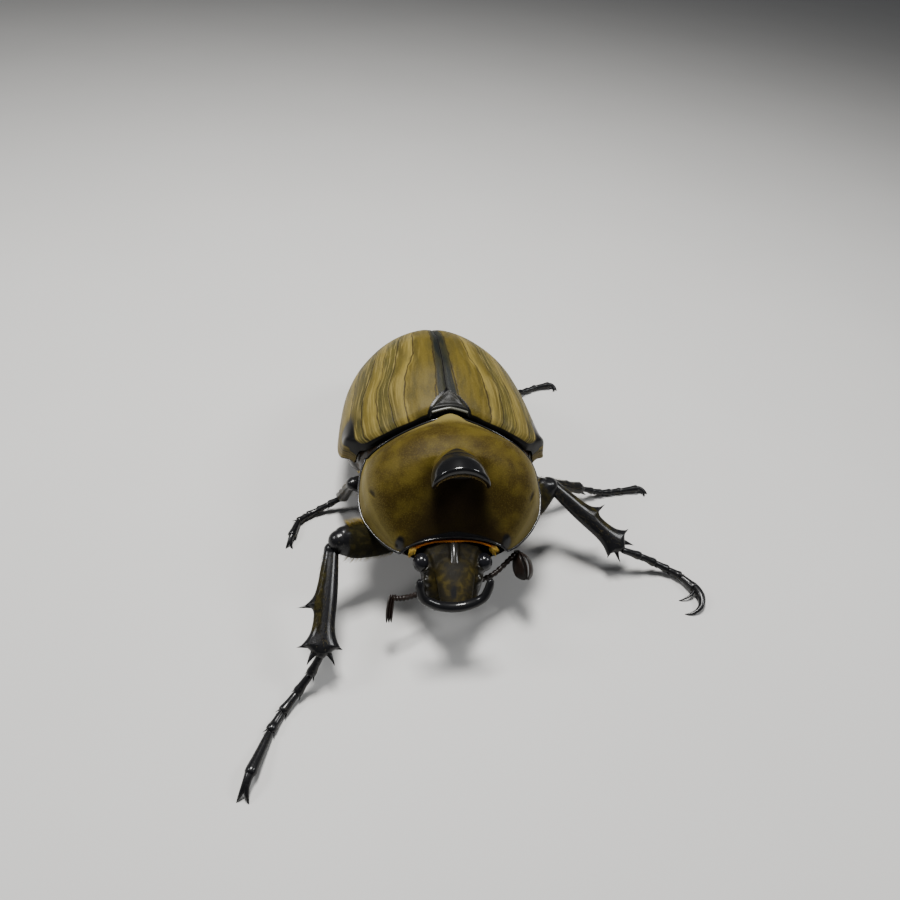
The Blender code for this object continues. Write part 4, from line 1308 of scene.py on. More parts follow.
@dataclass
class Head:
    """The head with its cheeks, eye sockets, eyes, forked horn, feelers and mouthparts."""

    skin: Look
    gloss: Look
    dull: Look
    eye: Look
    eye_places: tuple[Spot, Spot] = ((-5.35, -20.6, 12.7), (4.75, -20.7, 12.6))
    eye_size: Spot = (1.36, 1.5, 1.55)
    shaft: tuple[Spot, ...] = ((0.0, -20.0, 12.5), (-0.1, -22.4, 12.9), (-0.2, -24.6, 12.6),
                               (-0.3, -26.8, 12.1), (-0.4, -28.5, 11.85))
    shaft_wide: Profile = Profile((0, 2.2), (0.54, 2.1), (0.8, 1.9), (1, 1.5))
    shaft_thin: Profile = Profile((0, 1.2), (0.54, 1.0), (0.8, 0.75), (1, 0.5))

    def build(self) -> None:
        """Make every part of the head."""
        self.build_skin()
        self.build_horn()
        for place, word in zip(self.eye_places, ("right", "left")):
            form = Form()
            form.ball(place, self.eye_size, 28)
            form.finish("eye_%s_gloss" % word, self.eye, Slot.EYE, ["eye_%s" % word], sharp=180.0)
        self.build_feelers()
        self.build_mouth()
        self.build_hair()

    def build_skin(self) -> None:
        """Make the head's skin, fused from its cranium, cheeks, sockets and the sleeve of the horn."""
        form = Form()
        cranium = (((-0.2, -17.6, 12.2), 4.9, 2.8), ((-0.25, -19.3, 11.9), 5.3, 3.05),
                   ((-0.3, -20.9, 11.0), 5.2, 3.0), ((-0.3, -22.2, 10.2), 5.0, 2.5),
                   ((-0.3, -23.4, 9.3), 4.6, 1.9), ((-0.2, -24.3, 8.5), 4.1, 1.2),
                   ((-0.2, -24.8, 8.1), 3.5, 0.6))
        form.limb([Station(Vector(spot), wide, thin) for spot, wide, thin in cranium], (1, 0, 0), 40, 2.4)
        sleeve = stations(self.shaft, Profile((0, 3.3), (0.3, 3.2), (0.6, 2.8), (0.85, 2.45), (1, 2.1)),
                          Profile((0, 1.8), (0.5, 1.5), (0.8, 1.1), (1, 0.7)), 18)
        form.limb(sleeve, (1, 0, 0), 32, 2.0)
        ridge_size, brow_size = Profile((0, 0.3), (0.5, 0.36), (1, 0.15)), Profile((0, 0.5), (1, 0.35))
        for hand in (-1, 1):
            form.ball((hand * 3.8 - 0.3, -20.3, 12.2), (1.3, 1.8, 1.5), 16)
            form.ball((hand * 3.95 - 0.35, -22.9, 11.1), (0.95, 1.0, 0.9), 16)
            ridge = sided(hand, -0.3, (3.6, -21.7, 13.2), (4.5, -22.1, 12.5), (5.1, -22.0, 11.7))
            form.limb(stations(ridge, ridge_size, ridge_size, 8), (0, 1, 0), 10)
            brow = sided(hand, -0.3, (4.2, -18.4, 13.7), (3.2, -20.6, 14.0), (2.9, -22.6, 12.9))
            form.limb(stations(brow, brow_size, brow_size, 10), (0, 1, 0), 10)
        keel = ((-0.15, -18.7, 14.9), (-0.2, -20.2, 14.65), (-0.25, -22.0, 14.15), (-0.3, -24.0, 13.4),
                (-0.35, -25.4, 12.7))
        wide, tall = Profile((0, 0.9), (0.5, 0.8), (1, 0.4)), Profile((0, 0.75), (0.5, 0.65), (1, 0.3))
        form.limb(stations(keel, wide, tall, 18), (1, 0, 0), 24)
        form.finish("head_skin", self.skin, Slot.HAIRED, ["head"], voxel=0.1, soften=34, sharp=180.0,
                    marks={"hair": self.hair, "dark": self.spot})

    def build_horn(self) -> None:
        """Make the forked horn: the shaft and the two upturned prongs."""
        form = Form()
        form.limb(stations(self.shaft, self.shaft_wide, self.shaft_thin, 24), (1, 0, 0), 36, 2.2)
        prongs = ((-6.1, -26.9, 16.9), (-6.05, -27.5, 15.6), (-5.55, -28.2, 14.1), (-4.5, -28.5, 13.3),
                  (-2.9, -28.7, 12.6), (-0.9, -28.8, 12.35), (1.05, -28.7, 12.55), (2.65, -28.5, 13.15),
                  (3.75, -28.2, 14.0), (4.4, -27.5, 15.4), (4.6, -26.9, 16.7))
        size = Profile((0, 0.3), (0.03, 0.56), (0.08, 0.68), (0.5, 0.8), (0.92, 0.68), (0.97, 0.56), (1, 0.3))
        form.limb(stations(prongs, size, size, 90), (0, -1, 0.6), 20)
        form.finish("head_horn_gloss", self.gloss, Slot.GLOSS, ["head_horn"], voxel=FINE_CELL, soften=5,
                    sharp=180.0)

    def hair(self, x: Array, y: Array, z: Array) -> Array:
        """Return where short olive hair covers the head: in the grooves beside the keel and on the front."""
        keel = (1.0 - ease(np.abs(x + 0.25), 0.45, 0.9)) * (1.0 - ease(-y, 21.8, 22.8)) * ease(z, 12.5, 13.6)
        side = 0.7 * ease(np.abs(x + 0.3), 3.4, 4.4) * (z > 9.0)
        return np.clip(1.1 * (1.0 - keel) * (1.0 - side), 0.0, 1.2)

    @staticmethod
    def spot(x: Array, y: Array, z: Array) -> Array:
        """Return where the head is dark: outside two olive bands, and on an oval spot of the shaft.

        Args:
            x, y, z: Places in millimetres.

        Returns:
            Its share at each place, from 0 to 1.
        """
        spot = 1.4 * np.exp(-((x + 0.8) / 0.5) ** 2 - ((y + 26.9) / 0.9) ** 2)
        centre = np.clip(2.8 - 0.62 * (-y - 23.0), 0.5, 3.0)
        band = np.exp(-((np.abs(x + 0.5) - centre) / 0.85) ** 2) * ease(-y, 21.6, 23.0)
        return np.clip(spot + 0.62 * (1.0 - band), 0.0, 1.0) * (z > 9.0)

    def build_feelers(self) -> None:
        """Make both feelers: beaded stalks, the right club shut and the left one spread like a fan."""
        right = Form()
        stalk = ((-4.0, -22.6, 8.8), (-6.2, -24.0, 8.8), (-8.3, -25.0, 9.4), (-10.0, -25.3, 9.9))
        right.limb(self.beads(stalk), (0, 0, 1), 12)
        club = ((-9.9, -25.0, 10.3), (-10.2, -25.5, 9.4), (-10.4, -26.3, 8.1), (-10.5, -27.0, 6.9),
                (-10.5, -27.35, 6.35))
        size = Profile((0, 0.3), (0.15, 0.55), (0.5, 0.66), (0.85, 0.56), (1, 0.16))
        for shift in (-0.36, 0.0, 0.36):
            leaf = [(x + shift, y, z) for x, y, z in club]
            right.limb(stations(leaf, Profile((0, 0.12), (0.5, 0.24), (1, 0.08)), size, 14), (1, 0, 0), 14)
        right.finish("antenna_right_gloss", self.dull, Slot.GLOSS, ["antenna_right"], sharp=60.0,
                     marks={"hair": lambda x, y, z: 0.3 * (z < 9.4)})
        left = Form()
        stalk = ((4.4, -22.0, 9.4), (6.8, -21.0, 9.8), (9.2, -19.2, 10.7), (10.9, -17.9, 11.5))
        left.limb(self.beads(stalk), (0, 0, 1), 12)
        for bulge in (-1.1, 0.1, 1.1):
            path = ((10.9, -17.8, 11.6), (11.5 + bulge * 0.8, -18.9, 11.2), (11.8 + bulge, -20.2, 10.6),
                    (11.9 + bulge * 0.8, -21.4, 10.0), (12.0 + bulge * 0.2, -22.2, 9.6))
            left.limb(stations(path, Profile((0, 0.3), (0.25, 1.1), (0.6, 1.5), (0.9, 0.9), (1, 0.3)),
                               Profile((0, 0.2), (0.5, 0.26), (1, 0.12)), 24), (-0.35 * bulge, -0.4, 0.8), 18)
        left.finish("antenna_left_gloss", self.dull, Slot.GLOSS, ["antenna_left"], sharp=60.0,
                    marks={"hair": lambda x, y, z: 0.6 * (x > 10.3)})

    @staticmethod
    def beads(path: Sequence[Spot]) -> list[Station]:
        """Return the cross-sections of a beaded stalk along a path, three to a bead."""
        swells = [0.09 * math.cos(k * math.pi / 1.5) for k in range(31)]
        return [Station(place, 0.44 - swell, 0.42 - swell) for place, swell in zip(curve(path, 31), swells)]

    def build_mouth(self) -> None:
        """Make the two small jaws and the lip with its palps."""
        for hand, word in ((-1, "right"), (1, "left")):
            jaw = Form()
            path = sided(hand, 0.0, (2.9, -22.9, 8.4), (3.1, -24.2, 8.0), (2.9, -25.3, 8.0),
                         (2.5, -25.95, 8.35))
            jaw.limb(stations(path, Profile((0, 0.8), (0.5, 0.8), (0.85, 0.5), (1, 0.12)),
                              Profile((0, 0.6), (0.5, 0.6), (0.85, 0.35), (1, 0.1)), 16), (1, 0, 0), 18)
            jaw.finish("mandible_%s_gloss" % word, self.gloss, Slot.GLOSS, ["mandible_%s" % word], sharp=60.0)
        lip = Form()
        lip.ball((0, -22.0, 7.4), (2.0, 2.0, 1.0), 16)
        size = Profile((0, 0.3), (0.3, 0.36), (0.36, 0.28), (0.62, 0.36), (0.68, 0.28), (0.9, 0.36),
                       (1, 0.12))
        for hand in (-1, 1):
            outer = sided(hand, 0.0, (1.1, -22.4, 7.0), (2.2, -23.2, 6.2), (2.8, -24.0, 5.6),
                          (3.0, -24.8, 5.3))
            inner = sided(hand, 0.0, (0.6, -23.0, 6.9), (0.9, -24.1, 6.1), (0.9, -25.1, 5.8))
            for path in (outer, inner):
                lip.limb(stations(path, size, size, 26), (0, 0, 1), 12)
        lip.finish("mouthparts_skin", self.skin, Slot.HAIRED, ["mouthparts"], sharp=60.0,
                   marks={"hair": lambda x, y, z: 0.6 * (z > 6.9)})

    def build_hair(self, tuft: int = 160, beard_hairs: int = 700) -> None:
        """Make the yellow-orange tufts beside the eyes and the short hair of the mouth.

        Args:
            tuft: Hairs in each tuft.
            beard_hairs: Hairs at the mouth.
        """
        coat = Coat(21)
        for hand in (-1, 1):
            for _ in range(tuft):
                u, v = coat.chance.random(), coat.chance.random()
                out = hand * (5.9 + 1.1 * u) - 0.2
                root = Vector((out, -18.6 - 0.3 * u + 0.3 * v, 14.0 - 0.9 * u - 0.4 * v))
                way = Vector((hand * 0.3 + coat.jitter(0.2), -0.8, -0.5 + coat.jitter(0.2)))
                coat.add(root, way, Vector((0, 0.1, -0.35)), 0.8 + coat.jitter(0.2), 0.04,
                         (0.25 + hand * 0.2 + 0.1 * u, 0.3 + 0.1 * v))
        coat.finish("head_side_tufts", Seta("amber_seta", (0.4, 0.2, 0.02), (0.75, 0.48, 0.06)))
        beard = Coat(22)
        for _ in range(beard_hairs):
            x = beard.jitter(3.2)
            root = Vector((x, -23.9 - 0.5 * (1 - (x / 3.4) ** 2), 7.9 + beard.jitter(0.35)))
            way = Vector((x * 0.08 + beard.jitter(0.2), -0.7, -0.6 + beard.jitter(0.25)))
            beard.add(root, way, Vector((0, 0, -0.2)), 0.9 + beard.jitter(0.25), 0.035, (0.5 + x / 10.0, 0.6))
        beard.finish("mouth_hair", Seta("brown_seta", (0.02, 0.008, 0.003), (0.12, 0.06, 0.015)))


@dataclass(frozen=True)
class LegPlan:
    """Where one leg's joints are, in millimetres, and which way its toes point.

    headings are the directions of the five toe joints and the claws on the floor plan, in
    degrees from +X. edge points to the side with the large teeth, and shin_shift moves the
    shin's upper end. heights are those of the first toe joints as shares of the ankle's, and
    toe_lift is the last one's, in millimetres. claws has each claw's first and last direction,
    length and half thickness, and toes has the toe joints, in a leg that gives its own.
    """

    side: str
    pair: str
    root: Spot
    hip: Spot
    knee: Spot
    ankle: Spot
    headings: tuple[float, ...]
    edge: Spot
    toe_lift: float = 0.3
    shin_shift: Spot = (0.0, 0.0, 0.0)
    heights: tuple[float, ...] = (0.5, 0.12, 0.0, 0.0)
    claws: tuple[tuple[float, float, float, float], ...] = ()
    toes: tuple[Spot, ...] = ()


@dataclass(frozen=True)
class Thorn:
    """A tooth or spur of the shin.

    place is its share of the way along, hand its side, with 0 for the face, reach its length in
    millimetres, thick half its root's width, lean how far it points along the shin, and out how
    far out its root stands, as a share of the shin's half-width.
    """

    place: float
    hand: int
    reach: float
    thick: float = 0.42
    lean: float = 0.22
    out: float = 0.85


@dataclass(frozen=True)
class LegSizes:
    """Thicknesses and lengths shared by both legs of one pair, in millimetres.

    femur and tibia are half-widths on the broad and the narrow side, toes the lengths of the toe
    joints, foot and hook half the thickness of a toe and of a claw, and swell and shin the shapes
    of thigh and shin along them. shin_fur is how much of the shin's toothed side is furry.
    """

    coxa: float
    femur: tuple[float, float]
    joint: float
    tibia: tuple[float, float]
    toes: tuple[float, ...]
    foot: float
    claw: float
    swell: Profile = Profile((0, 0.45), (0.06, 0.6), (0.14, 0.72), (0.45, 1.0), (0.75, 0.75), (0.93, 0.62),
                             (1, 0.4))
    shin: Profile = Profile((0, 0.9), (0.12, 0.85), (0.4, 1.0), (0.7, 1.1), (0.93, 1.3), (0.98, 1.05),
                            (1, 0.7))
    thorns: tuple[Thorn, ...] = (Thorn(0.38, 1, 0.6), Thorn(0.66, 1, 0.7), Thorn(0.93, 1, 0.5))
    spurs: tuple[Thorn, ...] = (Thorn(0.95, 1, 1.6, 0.45, 1.2, 0.4), Thorn(0.96, -1, 2.2, 0.4, 1.6, 0.4),
                                Thorn(0.94, 0, 1.5, 0.4, 1.0, 0.4))
    shin_fur: float = 0.45
    hook: float = 0.5


LEGS = (
    LegPlan("right", "fore", (-3.6, -11.6, 8.4), (-7.8, -12.6, 8.8), (-18.9, -16.9, 13.9),
            (-20.8, -32.5, 6.2), (-135, -138, -128, -118, -108, -96), (-1.0, 0.0, 0.2), 1.0,
            (-0.7, -0.5, -1.7)),
    LegPlan("left", "fore", (3.6, -11.6, 8.4), (7.8, -12.4, 8.0), (18.7, -4.7, 13.7), (31.7, -13.1, 5.7),
            (-64, -150), (0.35, 0.8, 0.5), claws=((-55, -200, 7.4, 0.8), (-115, -190, 4.0, 0.3)),
            toes=((31.7, -13.6, 5.7), (35.5, -13.75, 4.0), (38.6, -14.15, 2.4), (41.2, -14.9, 1.3),
                  (43.3, -16.3, 1.1), (45.05, -19.0, 1.2))),
    LegPlan("right", "mid", (-3.4, 4.2, 6.6), (-7.2, 3.4, 5.2), (-16.6, -4.6, 14.0), (-18.7, 2.2, 2.9),
            (-165, -162, -152, -138, -104, -92), (-0.9, 0.5, 0.0)),
    LegPlan("left", "mid", (3.4, 4.6, 6.6), (7.2, 4.4, 5.2), (17.8, 0.9, 8.8), (28.9, 3.9, 3.0),
            (11, 10, 9, 8, 6, -80), (0.2, 0.9, 0.4)),
    LegPlan("right", "hind", (-3.4, 15.6, 6.2), (-7.0, 16.2, 4.6), (-17.4, 20.2, 7.8), (-14.2, 33.0, 2.8),
            (78, 75, 74, 72, 70, 40), (-0.9, 0.0, 0.4)),
    LegPlan("left", "hind", (3.4, 15.6, 6.2), (7.0, 16.2, 4.6), (17.0, 21.0, 8.6), (18.4, 34.2, 3.0),
            (38, 34, 31, 28, 12, -110), (0.9, 0.0, 0.4)),
)
PAIRS = {
    "fore": LegSizes(
        2.7, (2.9, 2.0), 1.75, (1.4, 1.1), (3.6, 3.4, 3.3, 3.2, 6.8), 0.84, 3.3,
        Profile((0, 0.45), (0.06, 0.6), (0.14, 0.74), (0.45, 0.99), (0.7, 1.05), (0.86, 0.88), (0.96, 0.74),
                (1, 0.5)),
        Profile((0, 0.85), (0.1, 0.9), (0.25, 1.05), (0.5, 1.2), (0.7, 1.2), (0.92, 1.35), (0.98, 1.0),
                (1, 0.7)),
        (Thorn(0.56, 1, 3.6), Thorn(0.92, 1, 2.9), Thorn(0.92, -1, 2.3)),
        (Thorn(0.95, 1, 3.3, 0.55, 1.5, 0.4), Thorn(0.95, -1, 3.4, 0.45, 1.2, 0.4)), 0.75, 0.66),
    "mid": LegSizes(2.4, (2.2, 1.6), 1.2, (0.88, 0.78), (2.8, 2.3, 2.2, 2.2, 3.8), 0.74, 2.4),
    "hind": LegSizes(2.4, (2.3, 1.7), 1.25, (1.25, 1.0), (2.8, 2.3, 2.2, 2.2, 3.6), 0.74, 2.4),
}


@dataclass
class Leg:
    """One leg: coxa, thigh, shin with its thorns, toes, claws and hair."""

    plan: LegPlan
    sizes: LegSizes
    gloss: Look
    toe_rest: float = 0.66
    thigh_side: Spot = (0.0, 0.5, 0.87)
    thornlet: tuple[tuple[float, float], ...] = ((0.0, 0.16), (0.6, 0.1), (1.0, 0.02))

    def finish(self, form: Form, part: str, **settings: object) -> None:
        """Finish one part of the leg as the coat of its CAD node.

        Args:
            form: The part's form.
            part: Its name, such as femur.
            settings: Settings passed on to the form's own finish.
        """
        node = "%s_%s_%s" % (self.plan.pair, part, self.plan.side)
        form.finish(node + "_gloss", self.gloss, Slot.GLOSS, [node], **settings)

    def toe_path(self) -> list[Vector]:
        """Work out the joints of the toes.

        Returns:
            The places, from the ankle to the end of the last toe.
        """
        if self.plan.toes:
            return [Vector(spot) for spot in self.plan.toes]
        place = Vector(self.plan.ankle)
        stops = [place.copy()]
        rise = self.plan.ankle[2] - self.toe_rest
        rests = [self.toe_rest + rise * height for height in self.plan.heights]
        rests.append(self.toe_rest + self.plan.toe_lift)
        for length, heading, rest in zip(self.sizes.toes, self.plan.headings, rests):
            drop = rest - place.z
            flat = math.sqrt(max(0.2, length * length - drop * drop))
            turn = math.radians(heading)
            place = place + Vector((math.cos(turn) * flat, math.sin(turn) * flat, drop))
            stops.append(place.copy())
        return stops

    def build(self) -> None:
        """Make every part of the leg."""
        self.build_coxa()
        self.build_femur()
        self.build_tibia()
        self.build_tarsus()

    def build_coxa(self) -> None:
        """Make the socket piece with the small ring between it and the thigh."""
        root, hip = Vector(self.plan.root), Vector(self.plan.hip)
        way = (hip - root).normalized()
        thick = self.sizes.coxa
        form = Form()
        shape = Profile((0, 0.65), (0.3, 1.0), (0.75, 0.92), (0.93, 0.66), (1, 0.35))
        rings = []
        for u in np.linspace(0.0, 1.0, 14):
            size = thick * float(shape(u))
            rings.append(Station(root.lerp(hip, u), size, size))
        form.limb(rings, (0, 0, 1), 24)
        form.ball(tuple(hip - way * 0.1), (thick * 0.58,) * 3, 14)
        self.finish(form, "coxa", sharp=60.0)

    def build_femur(self) -> None:
        """Make the thigh, thickest past its middle, with its knee."""
        hip, knee = Vector(self.plan.hip), Vector(self.plan.knee)
        tall, thin = self.sizes.femur
        form = Form()
        rings = []
        for u in np.linspace(0.0, 1.0, 26):
            size = float(self.sizes.swell(u))
            rings.append(Station(hip.lerp(knee, u), tall * size, thin * (0.35 + 0.65 * size)))
        form.limb(rings, self.thigh_side, 28, 2.2)
        joint = self.sizes.joint
        way = (knee - hip).normalized()
        form.ball(tuple(knee - way * joint * 0.35), (joint,) * 3, 18)
        self.finish(form, "femur", voxel=0.14, soften=6, sharp=180.0, marks={"hair": self.femur_hair})

    def femur_hair(self, x: Array, y: Array, z: Array) -> Array:
        """Return where the thigh carries olive hair: between its ends.

        Args:
            x, y, z: Places in millimetres.

        Returns:
            Its share at each place, from 0 to 1.
        """
        hip, knee = np.array(self.plan.hip), np.array(self.plan.knee)
        way = (knee - hip) / np.linalg.norm(knee - hip)
        along = ((np.stack([x, y, z], axis=1) - hip) @ way) / np.linalg.norm(knee - hip)
        return ease(along, 0.02, 0.15) * (1.0 - ease(along, 0.8, 0.96))

    def shin_frame(self) -> tuple[Vector, Vector, Vector, Vector, Vector]:
        """Work out the shin's own axes.

        Returns:
            Its start, end, length direction, toothed side and face.
        """
        start, end = Vector(self.plan.knee), Vector(self.plan.ankle)
        way = (end - start).normalized()
        edge = Vector(self.plan.edge)
        edge = (edge - way * edge.dot(way)).normalized()
        shift = Vector(self.plan.shin_shift)
        start, end = start - way * 0.4 + shift, end - way * 0.05
        way = (end - start).normalized()
        edge = (edge - way * edge.dot(way)).normalized()
        return start, end, way, edge, way.cross(edge)

    def build_tibia(self) -> None:
        """Make the shin with its flat thorns and spurs, fused to one skin."""
        start, end, way, edge, face = self.shin_frame()
        wide, thin = self.sizes.tibia
        shape = self.sizes.shin
        form = Form()
        rings = []
        for u in np.linspace(0.0, 1.0, 120):
            size = float(shape(u))
            rings.append(Station(start.lerp(end, u), wide * size, thin * (0.6 + 0.4 * size)))
        form.limb(rings, tuple(edge), 28, 2.0)
        length = (end - start).length
        for vertex in form.bm.verts:
            away = vertex.co - start
            along, out = away.dot(way), away.dot(edge)
            for thorn in self.sizes.thorns:
                gap = along - thorn.place * length
                hold = max(0.0, out * thorn.hand / (wide * float(shape(thorn.place)))) ** 1.2
                cusp = math.exp(-(abs(gap) / (0.5 if gap > 0 else 1.0)) ** 1.1)
                pull = edge * thorn.hand * thorn.reach * 0.42 * cusp
                vertex.co += (pull + way * 0.2 * cusp * cusp) * hold
        form.ball(tuple(start + way * 0.35), (self.sizes.joint * 0.7,) * 3, 16)
        form.ball(tuple(end - way * 0.35), (self.sizes.foot * 1.15,) * 3, 14)
        for thorn in (*self.sizes.thorns, *self.sizes.spurs):
            out = edge * thorn.hand if thorn.hand else face * (1 if face.z > 0 else -1)
            root = start.lerp(end, thorn.place) + out * wide * float(shape(thorn.place)) * thorn.out
            aim = (out + way * thorn.lean).normalized()
            rings = []
            for u in np.linspace(0.0, 1.0, 12):
                size = thorn.thick * (1.2 * (1.0 - u) ** 1.6 + 0.18 * (1.0 - u ** 4) + 0.04)
                rings.append(Station(root + aim * thorn.reach * u - out * 0.5 * u * u, size, size * 0.62))
            form.limb(rings, tuple(way), 14)
        self.finish(form, "tibia", voxel=FINE_CELL, soften=2, sharp=180.0, marks={"hair": self.tibia_hair})

    def tibia_hair(self, x: Array, y: Array, z: Array) -> Array:
        """Return where the shin carries olive hair: along its toothed side.

        Args:
            x, y, z: Places in millimetres.

        Returns:
            Its share at each place, from 0 to 1.
        """
        start, end, way, edge, _ = self.shin_frame()
        away = np.stack([x, y, z], axis=1) - np.array(start)
        along = away @ np.array(way) / (end - start).length
        out = away @ np.array(edge)
        flank = ease(out, 0.1, 0.9) * (1.0 - ease(out, 1.7, 2.1))
        return self.sizes.shin_fur * flank * ease(along, 0.06, 0.2) * (1.0 - ease(along, 0.74, 0.9))

    def build_tarsus(self) -> None:
        """Make the five toe joints and the two hooked claws."""
        stops = self.toe_path()
        form = Form()
        last = len(stops) - 2
        for k, (near, far) in enumerate(zip(stops, stops[1:])):
            far = far + (far - near).normalized() * 0.12
            self.add_toe(form, near, far, k == last)
            if k != last:
                self.add_thornlets(form, near, far)
        start, aim = self.plan.headings[-2:]
        claw, hook = self.sizes.claw, self.sizes.hook
        for claw_plan in self.plan.claws or ((start, aim - 32, claw, hook), (start, aim + 32, claw, hook)):
            self.add_claw(form, stops[-1], *claw_plan)
        self.finish(form, "tarsus", sharp=60.0)

    def add_toe(self, form: Form, near: Vector, far: Vector, last: bool) -> None:
        """Add one toe joint, which never reaches below the floor.

        Args:
            form: The form that takes it.
            near, far: Its ends.
            last: Whether it carries the claws.
        """
        sag = Vector((0, 0, 0.0 if last else 0.06))
        shape = (Profile((0, 0.6), (0.12, 0.72), (0.6, 0.88), (0.92, 1.05), (1, 0.7)) if last else
                 Profile((0, 0.6), (0.12, 0.7), (0.55, 0.78), (0.86, 0.96), (0.95, 0.9), (1, 0.5)))
        rings = []
        for u in np.linspace(0.0, 1.0, 16):
            size = self.sizes.foot * float(shape(u))
            spot = near.lerp(far, u) + sag * math.sin(u * math.pi)
            spot.z = max(spot.z, size)
            rings.append(Station(spot, size, size))
        form.limb(rings, (0, 0, 1), 16)

    def add_thornlets(self, form: Form, near: Vector, far: Vector) -> None:
        """Add the two small thorns at the end of a toe joint.

        Args:
            form: The form that takes them.
            near, far: The joint's ends.
        """
        way = (far - near).normalized()
        across = way.cross(Vector((0, 0, 1))).normalized()
        for hand in (-1, 1):
            root = near.lerp(far, 0.86) + across * hand * self.sizes.foot * 0.6 - Vector((0, 0, 0.15))
            tip = root + way * 0.95 + across * hand * 0.45
            tip.z = max(tip.z, 0.25)
            form.limb([Station(root.lerp(tip, u), size, size) for u, size in self.thornlet], (0, 0, 1), 6)

    @staticmethod
    def add_claw(form: Form, root: Vector, first: float, final: float, reach: float, stout: float) -> None:
        """Add one hooked claw, which turns on the floor plan and comes down to the floor.

        Args:
            form: The form that takes it.
            root: The end of the last toe joint.
            first: The direction in which it starts, in degrees from +X.
            final: The direction of its tip.
            reach: Its length along the curve.
            stout: Half its thickness at the root.
        """
        steps = 17
        place = root.copy()
        rings = []
        for u in np.linspace(0.0, 1.0, steps + 1):
            size = stout * (1.0 - u) ** 0.75 + 0.05
            place.z = max(size + 0.02, root.z * (1.0 - u * u))
            rings.append(Station(place.copy(), size, size))
            turn = math.radians(first + (final - first) * u)
            place += Vector((math.cos(turn), math.sin(turn), 0.0)) * reach / steps
        form.limb(rings, (0.1, 0.1, 1.0), 12)

    def add_thigh_hair(self, coat: Coat, patch: tuple[float, float], count: int = 900) -> None:
        """Add the thigh's fringe to a coat.

        Args:
            coat: The coat that takes the hairs.
            patch: The corner of this leg's charts on the unwrap, which take 0.15 each way.
            count: How many hairs.
        """
        hip, knee = Vector(self.plan.hip), Vector(self.plan.knee)
        way = (knee - hip).normalized()
        side = Vector(self.thigh_side)
        side = (side - way * side.dot(way)).normalized()
        tall, thin = self.sizes.femur
        for k in range(count):
            u = 0.1 + 0.76 * coat.chance.random()
            size = float(self.sizes.swell(u))
            turn = math.radians(coat.jitter(24.0) + (0.0 if k % 5 else 180.0))
            spoke = side * math.cos(turn) * tall * size + way.cross(side) * math.sin(turn) * thin * size
            out = (spoke.normalized() + way * 0.6).normalized()
            coat.add(hip.lerp(knee, u) + spoke * 0.96, out, way * 0.3, 0.95 + coat.jitter(0.25), 0.03,
                     (patch[0] + 0.15 * u, patch[1] + 0.02 + 0.04 * coat.chance.random()))

    def add_bristles(self, coat: Coat, patch: tuple[float, float], on_shin: int = 420,
                     on_toe: int = 12) -> None:
        """Add the short bristles of the shin and the toes to a coat.

        Args:
            coat: The coat that takes the bristles.
            patch: The corner of this leg's charts on the unwrap, which take 0.15 each way.
            on_shin: How many stand on the shin.
            on_toe: How many stand on each toe joint.
        """
        start, end, way, edge, face = self.shin_frame()
        wide, thin = self.sizes.tibia
        for _ in range(on_shin):
            u = 0.08 + 0.84 * coat.chance.random()
            turn = coat.chance.uniform(0.0, 2.0 * math.pi)
            spoke = edge * math.cos(turn) * wide + face * math.sin(turn) * thin
            out = (spoke.normalized() * 0.7 + way * 0.8).normalized()
            root = start.lerp(end, u) + spoke * (0.92 + 0.2 * u)
            coat.add(root, out, way * 0.3, 0.5 + coat.jitter(0.15), 0.022,
                     (patch[0] + 0.15 * u, patch[1] + 0.08 + 0.06 * turn / 7.0))
        stops = self.toe_path()
        for near, far in zip(stops, stops[1:]):
            way = (far - near).normalized()
            across = way.cross(Vector((0, 0, 1))).normalized()
            for _ in range(on_toe):
                u = 0.45 + 0.5 * coat.chance.random()
                hand = 1 if coat.chance.random() > 0.5 else -1
                lift = Vector((0, 0, coat.jitter(0.25)))
                root = near.lerp(far, u) + across * hand * self.sizes.foot * 0.6 + lift
                coat.add(root, way * 0.8 + across * hand * 0.6, Vector((0, 0, 0)), 0.6, 0.03,
                         (patch[0] + 0.15 * u, patch[1] + 0.145))


